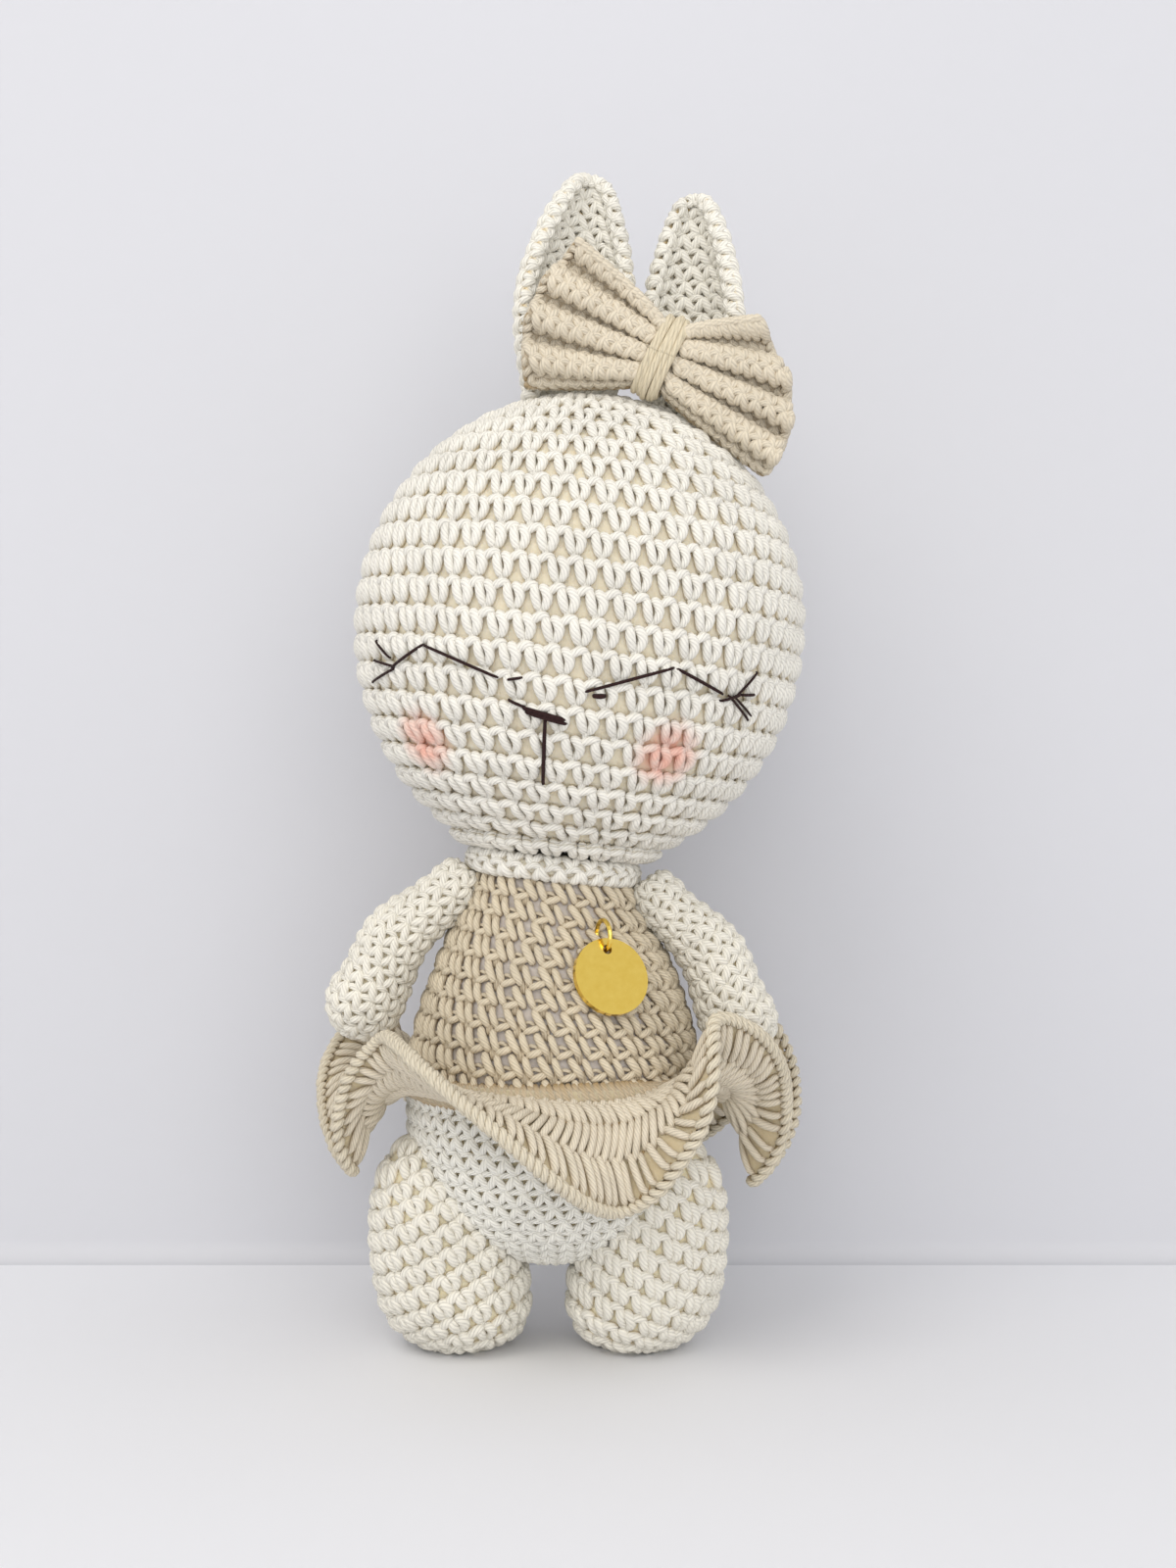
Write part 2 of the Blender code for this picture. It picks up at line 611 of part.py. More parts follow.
def leg_rings(side, inset):
    """The leg's rounds at this inset, from the sole up, leaning out and forwards towards the hip."""
    low, high = inset, LEG_LENGTH - inset
    rings = []
    for share in (1 - np.cos(np.linspace(0, math.pi, LEG_LAYERS))) / 2:
        height = low + (high - low) * share
        lean = height / LEG_LENGTH
        centre = (LEG_MIDDLE_X + side * (LEG_FOOT_X + (LEG_TOP_X - LEG_FOOT_X) * lean),
                  -LEG_FOOT_FORWARD - (LEG_TOP_FORWARD - LEG_FOOT_FORWARD) * lean)
        radius = leg_radius_at(height, inset)
        if share >= 1:
            rings.append(np.array([[centre[0], centre[1], height]]))
        else:
            rings.append(ring_of(radius, radius, height, LEG_STEPS, centre))
    return rings


def make_leg(name, side, doll, finishes, hip_block):
    pivot = empty(name + "_hinge", doll, Matrix.Translation((0, 0, HIP_HEIGHT)))
    down = np.array([0, 0, HIP_HEIGHT])
    outer = [ring - down for ring in leg_rings(side, 0)]
    hollow = [ring - down for ring in leg_rings(side, WALL)]
    fill = [ring - down for ring in leg_rings(side, WALL + GAP)]
    cover = lofted(name + "_cover", outer, finishes["trim"], pivot)
    cut(cover, cutter(lofted(name + "_hollow", hollow, None, pivot)))
    cut(cover, hip_block)
    stuffing = lofted(name + "_stuffing", fill, finishes["stuffing"], pivot)
    cut(stuffing, hip_block)


def make_legs(doll, finishes):
    radius = HIP_RADIUS + GAP + HIP_CUT_ALLOWANCE
    rings = sphere_rings(radius, (0, 0, HIP_HEIGHT), FINE_STEPS, FINE_STEPS // 2)
    hip_block = cutter(lofted("hip_block", rings, None, doll))
    make_leg("left_leg", -1, doll, finishes, hip_block)
    make_leg("right_leg", 1, doll, finishes, hip_block)


def arm_rings(length, inset):
    """A limb along its own -Z from a ball round the shoulder to a round hand, bowed towards +X."""
    rings = []
    shoulder = ARM_SHOULDER_RADIUS - inset
    mouth = math.asin(ARM_MOUTH_RADIUS / ARM_SHOULDER_RADIUS)
    for tilt in np.linspace(mouth, math.pi / 2, ARM_END_LAYERS):
        radius = shoulder * math.sin(tilt)
        rings.append(ring_of(radius, radius, shoulder * math.cos(tilt), ARM_STEPS))
    straight = length - ARM_HAND_RADIUS
    for share in np.linspace(0, 1, ARM_LAYERS)[1:]:
        radius = ARM_SHOULDER_RADIUS * smooth(ARM_SWELL_SHARES, share * ARM_SWELL_SHARES[-1][0]) - inset
        shift = ARM_BOW * math.sin(math.pi * share) ** 2
        rings.append(ring_of(radius, radius, -share * straight, ARM_STEPS, (shift, 0)))
    hand = ARM_HAND_RADIUS - inset
    for tilt in np.linspace(0, math.pi / 2, ARM_END_LAYERS + 1)[1:-1]:
        radius = hand * math.cos(tilt)
        rings.append(ring_of(radius, radius, -straight - hand * math.sin(tilt), ARM_STEPS))
    rings.append(np.array([[0.0, 0.0, -straight - hand]]))
    return rings


def arm_place(side, shoulder, spread):
    """The arm's frame: +X away from the body, -Z down the arm."""
    place = Matrix.Translation((shoulder[0], -ARM_FORWARD, shoulder[1]))
    if side < 0:
        place = place @ Matrix.Rotation(math.pi, 4, "Z")
    return place @ Matrix.Rotation(-spread, 4, "Y")


def make_arm(name, side, shoulder, length, spread, doll, finishes, body_block):
    pivot = empty(name + "_hinge", doll, arm_place(side, shoulder, spread))
    outer = arm_rings(length, 0)
    inner = arm_rings(length, WALL)
    cover = lofted(name + "_cover", outer + inner[::-1], finishes["trim"], pivot, looped=True)
    cut(cover, body_block)
    stuffing = lofted(name + "_stuffing", arm_rings(length, WALL + GAP), finishes["stuffing"], pivot)
    cut(stuffing, body_block)


def shoulder_balls(ending, clearance, doll):
    """A ball at each shoulder, this much larger all round than the one the arm turns on."""
    made = []
    for side, shoulder in (("left", LEFT_SHOULDER), ("right", RIGHT_SHOULDER)):
        centre = (shoulder[0], -ARM_FORWARD, shoulder[1])
        rings = sphere_rings(ARM_SHOULDER_RADIUS + clearance, centre, FINE_STEPS, FINE_STEPS // 2)
        made.append(cutter(lofted(side + ending, rings, None, doll)))
    return made


def make_arms(doll, finishes):
    heights = np.linspace(HIP_HEIGHT, BODY_TOP_HEIGHT, BODY_LAYERS)
    rings = [body_ring(h, -ARM_BODY_CLEARANCE) for h in heights]
    body_block = cutter(lofted("body_block", rings, None, doll))
    for ball in shoulder_balls("_ball", ARM_BALL_ALLOWANCE, doll):
        cut(body_block, ball)
    make_arm("left_arm", -1, LEFT_SHOULDER, LEFT_ARM_LENGTH, LEFT_ARM_SPREAD, doll, finishes, body_block)
    make_arm("right_arm", 1, RIGHT_SHOULDER, RIGHT_ARM_LENGTH, RIGHT_ARM_SPREAD, doll, finishes, body_block)


def charm_place():
    """The disc's frame on the chest: X along the body, Y into it and Z up the slope, at the disc's middle."""
    step = DISC_RADIUS
    slope = (body_radius(CHARM_HEIGHT + step) - body_radius(CHARM_HEIGHT - step)) / (2 * step)
    lean = math.atan(-slope)
    out = Vector((math.sin(CHARM_ANGLE), -math.cos(CHARM_ANGLE), 0))
    radius = body_radius(CHARM_HEIGHT)
    turn = Matrix.Rotation(CHARM_ANGLE, 4, "Z") @ Matrix.Rotation(-lean, 4, "X")
    place = Matrix.Translation(out * radius + Vector((0, 0, CHARM_HEIGHT))) @ turn
    clear = DISC_REST_GAP + DISC_THICKNESS / 2 + DISC_RADIUS**2 / (4 * radius)
    return place @ Matrix.Translation((0, -clear, 0))


def torus_rings(radius, wire):
    """A ring in its own YZ plane."""
    rings = []
    side = np.array([1, 0, 0])
    turns = np.arange(RING_SIDES) * 2 * math.pi / RING_SIDES
    for i in range(RING_STEPS):
        turn = 2 * math.pi * i / RING_STEPS
        out = np.array([0, math.sin(turn), math.cos(turn)])
        rings.append(np.array([radius * out + wire / 2 * (math.cos(a) * out + math.sin(a) * side)
                               for a in turns]))
    return rings


def ring_place():
    """The ring's middle: its lowest wire point passes through the middle of the disc's hole."""
    return charm_place() @ Matrix.Translation((0, 0, DISC_HOLE_OFFSET + RING_RADIUS))


def make_charm(doll, finishes):
    """Jump ring and disc, and the groove that leaves one bar of the leotard inside the ring."""
    pivot = empty("jump_ring_hinge", doll, ring_place())
    lofted("jump_ring", torus_rings(RING_RADIUS, RING_WIRE), finishes["gold"], pivot, looped=True)
    swing = empty("gold_disc_hinge", pivot, Matrix.Translation((0, 0, -RING_RADIUS)))
    turn = np.arange(FINE_STEPS) * 2 * math.pi / FINE_STEPS
    rings = []
    for radius, drop, y in ((DISC_RADIUS, DISC_HOLE_OFFSET, -1), (DISC_HOLE_RADIUS, 0, -1),
                            (DISC_HOLE_RADIUS, 0, 1), (DISC_RADIUS, DISC_HOLE_OFFSET, 1)):
        rings.append(np.stack([radius * np.cos(turn), np.full(FINE_STEPS, y * DISC_THICKNESS / 2),
                               radius * np.sin(turn) - drop], axis=1))
    lofted("gold_disc", rings, finishes["gold"], swing, looped=True)
    groove_wire = RING_WIRE + 2 * RING_GROOVE_CLEARANCE
    holder = empty("ring_groove_place", doll, ring_place())
    return cutter(lofted("ring_groove", torus_rings(RING_RADIUS, groove_wire), None, holder, looped=True))


def centre_on_origin(doll):
    """Shifts the doll sideways until the middle of its outline stands over the origin."""
    bpy.context.view_layer.update()
    graph = bpy.context.evaluated_depsgraph_get()
    corners = []
    for obj in bpy.context.scene.collection.objects:
        if obj.type != "EMPTY" and not obj.hide_render:
            shape = obj.evaluated_get(graph)
            mesh = shape.to_mesh()
            points = np.array([obj.matrix_world @ v.co for v in mesh.vertices])
            corners += [points.min(axis=0), points.max(axis=0)]
            shape.to_mesh_clear()
    low, high = np.min(corners, axis=0), np.max(corners, axis=0)
    doll.location = (-(low[0] + high[0]) / 2, -(low[1] + high[1]) / 2, 0)
    bpy.context.view_layer.update()


def main():
    clear_scene()
    finishes = {
        "head": material("cream_cotton_yarn", "#f3f1e8", 0.85),
        "trim": material("off_white_cotton_yarn", "#efe9da", 0.85),
        "beige": material("beige_cotton_yarn", "#ddd2b8", 0.85),
        "edging": material("pale_beige_cotton_yarn", "#f1ead6", 0.85),
        "wrap": material("wound_beige_yarn", "#e3d6b8", 0.8),
        "stuffing": material("fibre_stuffing", "#d8cfb5", 0.95),
        "thread": material("dark_brown_thread", "#3a2526", 0.7),
        "gold": material("gold_plated_brass", "#dcb93f", 0.2, 1.0),
    }
    doll = empty("doll")
    head = empty("head", doll, Matrix.Translation((0, 0, NECK_HEIGHT)) @ Matrix.Rotation(HEAD_TILT, 4, "Y"))
    make_head(head, finishes)
    make_face(head, finishes)
    layers = [head_ring(level, -GAP) for level in np.linspace(0, math.pi / 2, HEAD_LAYERS)]
    head_block = cutter(lofted("head_block", layers, None, head))
    make_ears(head, finishes, head_block)
    make_bow(head, finishes, head_block)
    groove = make_charm(doll, finishes)
    sockets = shoulder_balls("_socket", GAP + ARM_BALL_ALLOWANCE, doll)
    make_body(doll, finishes, [*sockets, groove])
    make_flounce(doll, finishes)
    make_legs(doll, finishes)
    make_arms(doll, finishes)
    centre_on_origin(doll)


main()
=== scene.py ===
"""The looks of a crocheted doll on its CAD frame: every cover is worked stitch by stitch in plied yarn.

A cover's surface is sampled as a Skin, a grid with u across or round it and s down it. Stitches are
short lists of points in shares of one stitch, repeated along the rows of that skin as round strands.
Lengths are in metres, and the numbers inside stitch tables are shares of a stitch and millimetres.
"""

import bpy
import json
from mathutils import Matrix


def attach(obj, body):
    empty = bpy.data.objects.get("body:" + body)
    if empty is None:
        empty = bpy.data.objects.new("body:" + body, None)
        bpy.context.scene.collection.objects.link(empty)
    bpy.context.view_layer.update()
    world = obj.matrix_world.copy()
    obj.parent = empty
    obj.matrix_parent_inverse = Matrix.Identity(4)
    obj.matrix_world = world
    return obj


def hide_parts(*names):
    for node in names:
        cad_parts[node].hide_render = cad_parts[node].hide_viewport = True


bl_info = {
    "name": "Crocheted Doll Looks",
    "version": (1, 0, 0),
    "blender": (4, 5, 0),
    "location": "3D Viewport > Sidebar > Doll",
    "description": "Builds the stitches, threads, stuffing, charm and studio of a crocheted doll",
    "category": "Object",
}

import json
import math

import bpy
import numpy as np
from mathutils import Matrix, Vector

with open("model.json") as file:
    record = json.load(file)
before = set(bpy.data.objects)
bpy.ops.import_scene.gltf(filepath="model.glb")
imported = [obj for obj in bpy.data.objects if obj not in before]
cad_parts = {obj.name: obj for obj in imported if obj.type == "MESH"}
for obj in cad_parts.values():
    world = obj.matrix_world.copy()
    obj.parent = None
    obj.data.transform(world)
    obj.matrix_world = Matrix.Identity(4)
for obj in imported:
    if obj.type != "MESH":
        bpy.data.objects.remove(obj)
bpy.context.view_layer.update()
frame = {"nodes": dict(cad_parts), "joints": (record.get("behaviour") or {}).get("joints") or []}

MM = 0.001
SEED = 20
STRAND_POINTS = 9
SHORT_STRAND_POINTS = 6
THIN_YARN_MM = 0.6
TINY = 1e-12
GIRTH_STEPS = 96
# How far a hand strays from stitch to stitch: shares of a stitch, of a strand's thickness, millimetres
HAND_SLIP = 0.04
HAND_SWELL = (0.93, 1.07)
HAND_RISE = 0.06
# Slides each strand's plies along a little, so that neighbours don't match
PLY_SLIP_MM = 0.37
STUFFING_ROUGHNESS = 0.00012

# The doll's dimensions. They are those of its solids, except that the soles are rounder at their edge,
# the ears and the bow follow the photograph's outlines, and the bow's loops run on under its wound yarn
WALL = 0.0018
GAP = 0.0003
HEAD_HALF_WIDTH = 0.0359
HEAD_HALF_DEPTH = 0.0345
HEAD_CROWN = 0.0372
HEAD_CHIN = 0.0390
HEAD_TILT = math.radians(6.4)
NECK_HEIGHT = 0.0780
NECK_RISE = 0.0373
NECK_OPENING_RADIUS = 0.0118
NECK_SEAM_RADIUS = 0.0124
NECK_SEAM_THICKNESS = 0.0022
NECK_RIM_PLUMPNESS = 0.0007
HIP_HEIGHT = 0.0370
HIP_RADIUS = 0.0235
WAIST_HEIGHT = 0.0425
BODY_TOP_HEIGHT = 0.0752
BODY_LEAN_START = HIP_HEIGHT + 0.56 * (NECK_HEIGHT - HIP_HEIGHT)
BODY_PROFILE_SHARES = ((0.0, 1.0), (0.22, 1.0), (0.45, 0.92), (0.66, 0.795), (0.87, 0.63), (1.0, 0.56))
LEG_RADIUS = 0.0124
LEG_LENGTH = 0.0350
LEG_MIDDLE_X = -0.0008
LEG_FOOT_X = 0.0138
LEG_TOP_X = 0.0190
LEG_FOOT_FORWARD = 0.0004
LEG_TOP_FORWARD = 0.0060
LEG_WIDEST_SHARE = 0.9
LEG_SOLE_CUT = 0.0005
LEG_SOLE_ROUND = 2.5
LEG_DOME_ROUND = 2.2
ARM_SHOULDER_RADIUS = 0.0042
ARM_HAND_RADIUS = 0.0063
ARM_BOW = 0.0022
ARM_FORWARD = 0.0030
ARM_SWELL_SHARES = ((0.0, 1.0), (0.25, 1.18), (0.55, 1.38), (0.8, 1.5))
ARMS = {"left": (-1, (-0.0155, 0.0741), 0.0300, math.radians(38.0)),
        "right": (1, (0.0166, 0.0722), 0.0300, math.radians(33.0))}
EAR_WALL = 0.0020
EAR_CUP_ANGLE = math.radians(84.0)
EAR_WIDTH_SHARES = ((0.0, 0.72), (0.2, 0.92), (0.38, 1.0), (0.6, 0.88), (0.8, 0.62), (0.93, 0.40),
                    (1.0, 0.22))
EAR_BACK_Y = 0.0050
EAR_DEPTH_SHARE = 1.06
EARS = {"left": (-0.0056, 0.0368, 0.0088, math.radians(-18.0), math.radians(-1.0)),
        "right": (0.0126, 0.0376, 0.0077, math.radians(24.0), math.radians(-3.2))}
BOW_CENTRE = (0.0082, -0.0112, 0.0795)
BOW_TILT = math.radians(15.4)
BOW_WALL = 0.0024
BOW_PINCH = 0.0012
BOW_PINCH_HALF_HEIGHT = 0.0043
BOW_PINCH_HALF_DEPTH = 0.0014
BOW_PLEATS = 3.5
BOW_PLEAT_DEPTH = 0.0016
BOW_PLEAT_GROWTH = 0.6
BOW_HEIGHT_GROWTH = 0.8
BOW_LOOPS = {
    "left": (-1, 0.0215, 0.0113, ((-1.0, 0.83), (-0.4, 0.97), (0.1, 1.0), (0.6, 0.95), (1.0, 0.86))),
    "right": (1, 0.0222, 0.0105, ((-1.0, 0.97), (-0.5, 1.0), (0.0, 0.95), (0.55, 0.78), (1.0, 0.52))),
}
BOW_RIDGES = (1.0, 0.4286, -0.1429, -0.7143)
BOW_RIDGE_SHARE = 0.105
BOW_VALLEY_SHARES = (0.110, 0.176)
WRAP_HALF_HEIGHT = 0.0066
WRAP_HALF_DEPTH = 0.0030
WRAP_HALF_WIDTH = 0.0017
WRAP_TURNS = 7
WRAP_YARN_RADIUS = 0.00048
FLOUNCE_WIDTH = 0.0150
FLOUNCE_WALL = 0.0020
FLOUNCE_ROOT_DEPTH = 0.0012
FLOUNCE_RIM_GAP = 0.0002
FLOUNCE_ROW_SHARE = 0.44
FLOUNCE_HEIGHT = WAIST_HEIGHT + WALL / 4
EDGING_THICKNESS = 0.0018
EDGE_LINES = 15
BORDER_RADIUS = 0.0009
SOFTENING_STEP = 0.0005
SOFTENING_REACH = 4
# Each fold: angle round the waist, slope in degrees, span as a share of the width
FLOUNCE_FOLD_SHARES = (
    (-42, 38, 0.84), (-12, -4, 0.93), (19, -66, 1.00), (33, -20, 0.86), (43, 43, 0.96), (57, 36, 0.96),
    (74, -10, 0.84), (84, -62, 1.10), (98, -6, 0.96), (112, 40, 0.90), (131, -58, 0.96), (151, 26, 0.94),
    (172, -58, 0.96), (193, 26, 0.94), (214, -58, 0.96), (238, 38, 0.86), (250, 31, 0.82), (261, 6, 0.82),
    (272, -24, 0.84), (286, -55, 0.96), (296, -10, 0.72), (306, 34, 0.70),
)

# Where the frame puts the doll
HEAD_TURN = next(joint for joint in frame["joints"] if joint["name"] == "head_turn")
DOLL_PLACE = Matrix.Translation(Vector(HEAD_TURN["pos_m"]) - Vector((0, 0, NECK_HEIGHT)))
HEAD_PLACE = DOLL_PLACE @ Matrix.Translation((0, 0, NECK_HEIGHT)) @ Matrix.Rotation(HEAD_TILT, 4, "Y")

# Stitches: strands of (thickness in mm, points). A point is (share of the stitch to the right,
# share of the row down, millimetres outwards)
HEAD_STITCH = (
    (1.55, ((-0.06, -0.04, -0.20), (0.00, 0.04, 0.30), (0.03, 0.20, 0.46), (0.09, 0.40, 0.36),
            (0.16, 0.58, 0.12), (0.22, 0.74, -0.10))),
    (1.60, ((0.20, -0.02, 0.05), (0.32, 0.00, 0.36), (0.43, 0.12, 0.48), (0.51, 0.30, 0.44),
            (0.49, 0.50, 0.30), (0.38, 0.74, -0.10))),
    (0.62, ((0.21, 0.62, 0.02), (0.24, 1.02, 0.22))),
    (0.62, ((0.30, 0.60, 0.10), (0.30, 1.02, 0.32))),
    (0.62, ((0.39, 0.62, 0.02), (0.36, 1.02, 0.22))),
    (1.35, ((0.44, 0.16, 0.15), (0.58, 0.06, 0.36), (0.76, -0.05, 0.46), (0.94, -0.09, 0.36),
            (1.08, -0.02, 0.10))),
)
BODY_STITCH = (
    (1.35, ((0.02, 0.04, -0.35), (0.07, 0.15, 0.20), (0.17, 0.37, 0.46), (0.29, 0.62, 0.46),
            (0.38, 0.80, 0.15), (0.42, 0.92, -0.30))),
    (1.20, ((0.50, 0.08, -0.35), (0.53, 0.19, 0.20), (0.59, 0.41, 0.46), (0.66, 0.64, 0.42),
            (0.72, 0.81, 0.10), (0.75, 0.92, -0.30))),
    (0.52, ((0.18, -0.40, -0.35), (0.22, -0.18, -0.10), (0.27, 0.06, -0.05), (0.30, 0.30, -0.25))),
    (0.52, ((0.29, -0.40, -0.30), (0.32, -0.18, 0.00), (0.36, 0.06, 0.02), (0.39, 0.32, -0.25))),
    (0.52, ((0.40, -0.40, -0.35), (0.42, -0.18, -0.10), (0.45, 0.06, -0.05), (0.47, 0.30, -0.25))),
    (0.62, ((0.72, 0.60, -0.15), (0.86, 0.55, 0.10), (1.00, 0.60, 0.10), (1.10, 0.68, -0.15))),
    (1.15, ((0.74, 1.00, -0.10), (0.84, 0.97, 0.26), (0.98, 0.90, 0.40), (1.14, 0.80, 0.26),
            (1.24, 0.72, -0.15))),
)
BUMP_STITCH = (
    (1.50, ((-0.06, -0.02, -0.35), (0.03, 0.14, 0.22), (0.17, 0.40, 0.46), (0.36, 0.74, 0.36),
            (0.50, 0.98, -0.30))),
    (1.50, ((1.02, 0.02, -0.35), (0.93, 0.16, 0.22), (0.80, 0.40, 0.48), (0.63, 0.64, 0.32),
            (0.48, 0.80, -0.20))),
    (1.15, ((0.16, 0.14, -0.10), (0.36, 0.00, 0.30), (0.60, -0.08, 0.42), (0.84, -0.04, 0.20),
            (0.98, 0.06, -0.15))),
)
ROPE_STITCH = (
    (1.30, ((-0.40, 0.98, -0.30), (0.00, 0.78, 0.18), (0.45, 0.50, 0.32), (0.95, 0.24, 0.18),
            (1.30, 0.04, -0.30))),
)
POST_STITCH = (
    (1.30, ((-0.04, -0.04, -0.35), (0.05, 0.07, 0.24), (0.26, 0.24, 0.46), (0.54, 0.44, 0.34),
            (0.72, 0.56, -0.20))),
    (1.25, ((0.42, -0.04, -0.30), (0.54, 0.08, 0.24), (0.76, 0.24, 0.42), (1.02, 0.40, 0.26),
            (1.14, 0.50, -0.20))),
    (1.30, ((0.98, 0.44, -0.25), (0.86, 0.54, 0.26), (0.66, 0.72, 0.44), (0.48, 0.90, 0.26),
            (0.40, 1.02, -0.30))),
    (1.15, ((0.46, 0.48, -0.25), (0.36, 0.58, 0.24), (0.20, 0.76, 0.40), (0.06, 0.92, 0.24),
            (0.00, 1.02, -0.30))),
)


def smooth(shares, x):
    """A smooth curve through a table of (place, value) shares."""
    places, values = np.array(shares, float).T
    slopes = np.gradient(values, places)
    i = np.clip(np.searchsorted(places, x, side="right") - 1, 0, len(places) - 2)
    width = places[i + 1] - places[i]
    t = np.clip((x - places[i]) / width, 0, 1)
    return ((2 * t**3 - 3 * t**2 + 1) * values[i] + (t**3 - 2 * t**2 + t) * width * slopes[i]
            + (3 * t**2 - 2 * t**3) * values[i + 1] + (t**3 - t**2) * width * slopes[i + 1])


def unit(vectors):
    """The vectors at length 1."""
    return vectors / np.maximum(np.linalg.norm(vectors, axis=-1, keepdims=True), TINY)


def placed(points, place):
    """The points moved and turned to their place."""
    turn = np.array(place.to_3x3())
    return points @ turn.T + np.array(place.translation)


def between(p0, p1, p2, p3, t):
    """The point at share t from p1 to p2 of the smooth curve through all four."""
    return 0.5 * (2 * p1 + (p2 - p0) * t + (2 * p0 - 5 * p1 + 4 * p2 - p3) * t**2
                  + (3 * p1 - p0 - 3 * p2 + p3) * t**3)


def spline(points, count):
    """Points evenly spaced in parameter on the smooth curve through the given ones."""
    points = np.array(points, float)
    padded = np.vstack([2 * points[0] - points[1], points, 2 * points[-1] - points[-2]])
    wanted = np.linspace(0, len(points) - 1, count)
    i = np.minimum(wanted.astype(int), len(points) - 2)
    t = (wanted - i)[:, None]
    return between(*(padded[i + k] for k in range(4)), t)


class Skin:
    """A surface as a grid of points: u across or round it from 0 to 1, s down it."""

    def __init__(self, points, closed=False, even=False, place=None):
        self.points = points if place is None else placed(points, place)
        self.closed = closed
        if closed:
            along = np.roll(self.points, -1, axis=0) - np.roll(self.points, 1, axis=0)
        else:
            along = np.gradient(self.points, axis=0)
        normals = np.cross(np.gradient(self.points, axis=1), along)
        weak = np.linalg.norm(normals, axis=2).max(axis=0) < TINY
        normals = unit(normals)
        strong = np.flatnonzero(~weak)
        for j in np.flatnonzero(weak):
            normals[:, j] = unit(normals[:, strong[np.abs(strong - j).argmin()]].mean(axis=0))
        self.normals = normals
        steps = np.linalg.norm(np.diff(self.points, axis=1), axis=2).mean(axis=0)
        self.arc = np.concatenate([[0.0], np.cumsum(steps)])
        if even:
            self.arc = np.linspace(0, 1, len(self.arc))
        self.length = self.arc[-1]

    def at(self, u, s, lift=0.0):
        """Points and normals there, lifted outwards."""
        columns, rows = self.points.shape[:2]
        down = np.interp(s, self.arc, np.arange(rows))
        j = np.minimum(down.astype(int), rows - 2)
        q = (down - j)[..., None]
        if self.closed:
            across = (u % 1.0) * columns
            i = across.astype(int) % columns
            k = (i + 1) % columns
            p = (across - np.floor(across))[..., None]
        else:
            across = np.clip(u, 0, 1) * (columns - 1)
            i = np.minimum(across.astype(int), columns - 2)
            k = i + 1
            p = (across - i)[..., None]

        def mixed(values):
            return ((values[i, j] * (1 - p) + values[k, j] * p) * (1 - q)
                    + (values[i, j + 1] * (1 - p) + values[k, j + 1] * p) * q)

        normals = unit(mixed(self.normals))
        return mixed(self.points) + normals * np.asarray(lift)[..., None], normals

    def girth(self, s):
        """Length along u at s."""
        edge = np.arange(0, 1, 1 / GIRTH_STEPS)
        points = self.at(edge, np.full(len(edge), s))[0]
        if self.closed:
            points = np.vstack([points, points[:1]])
        return np.linalg.norm(np.diff(points, axis=0), axis=1).sum()


def rows_down(skin, first, last, height, pitch, drift=0.0, multiple=1, least=6):
    """Rows of stitches as (top, bottom, count, phase), each drifting by a share of a stitch."""
    made = []
    number = max(1, round((last - first) / height))
    edges = np.linspace(first, last, number + 1)
    for k, (top, bottom) in enumerate(zip(edges, edges[1:])):
        girth = skin.girth((top + bottom) / 2)
        count = max(least, round(girth / pitch / multiple) * multiple)
        made.append((top, bottom, count, k * drift))
    return made


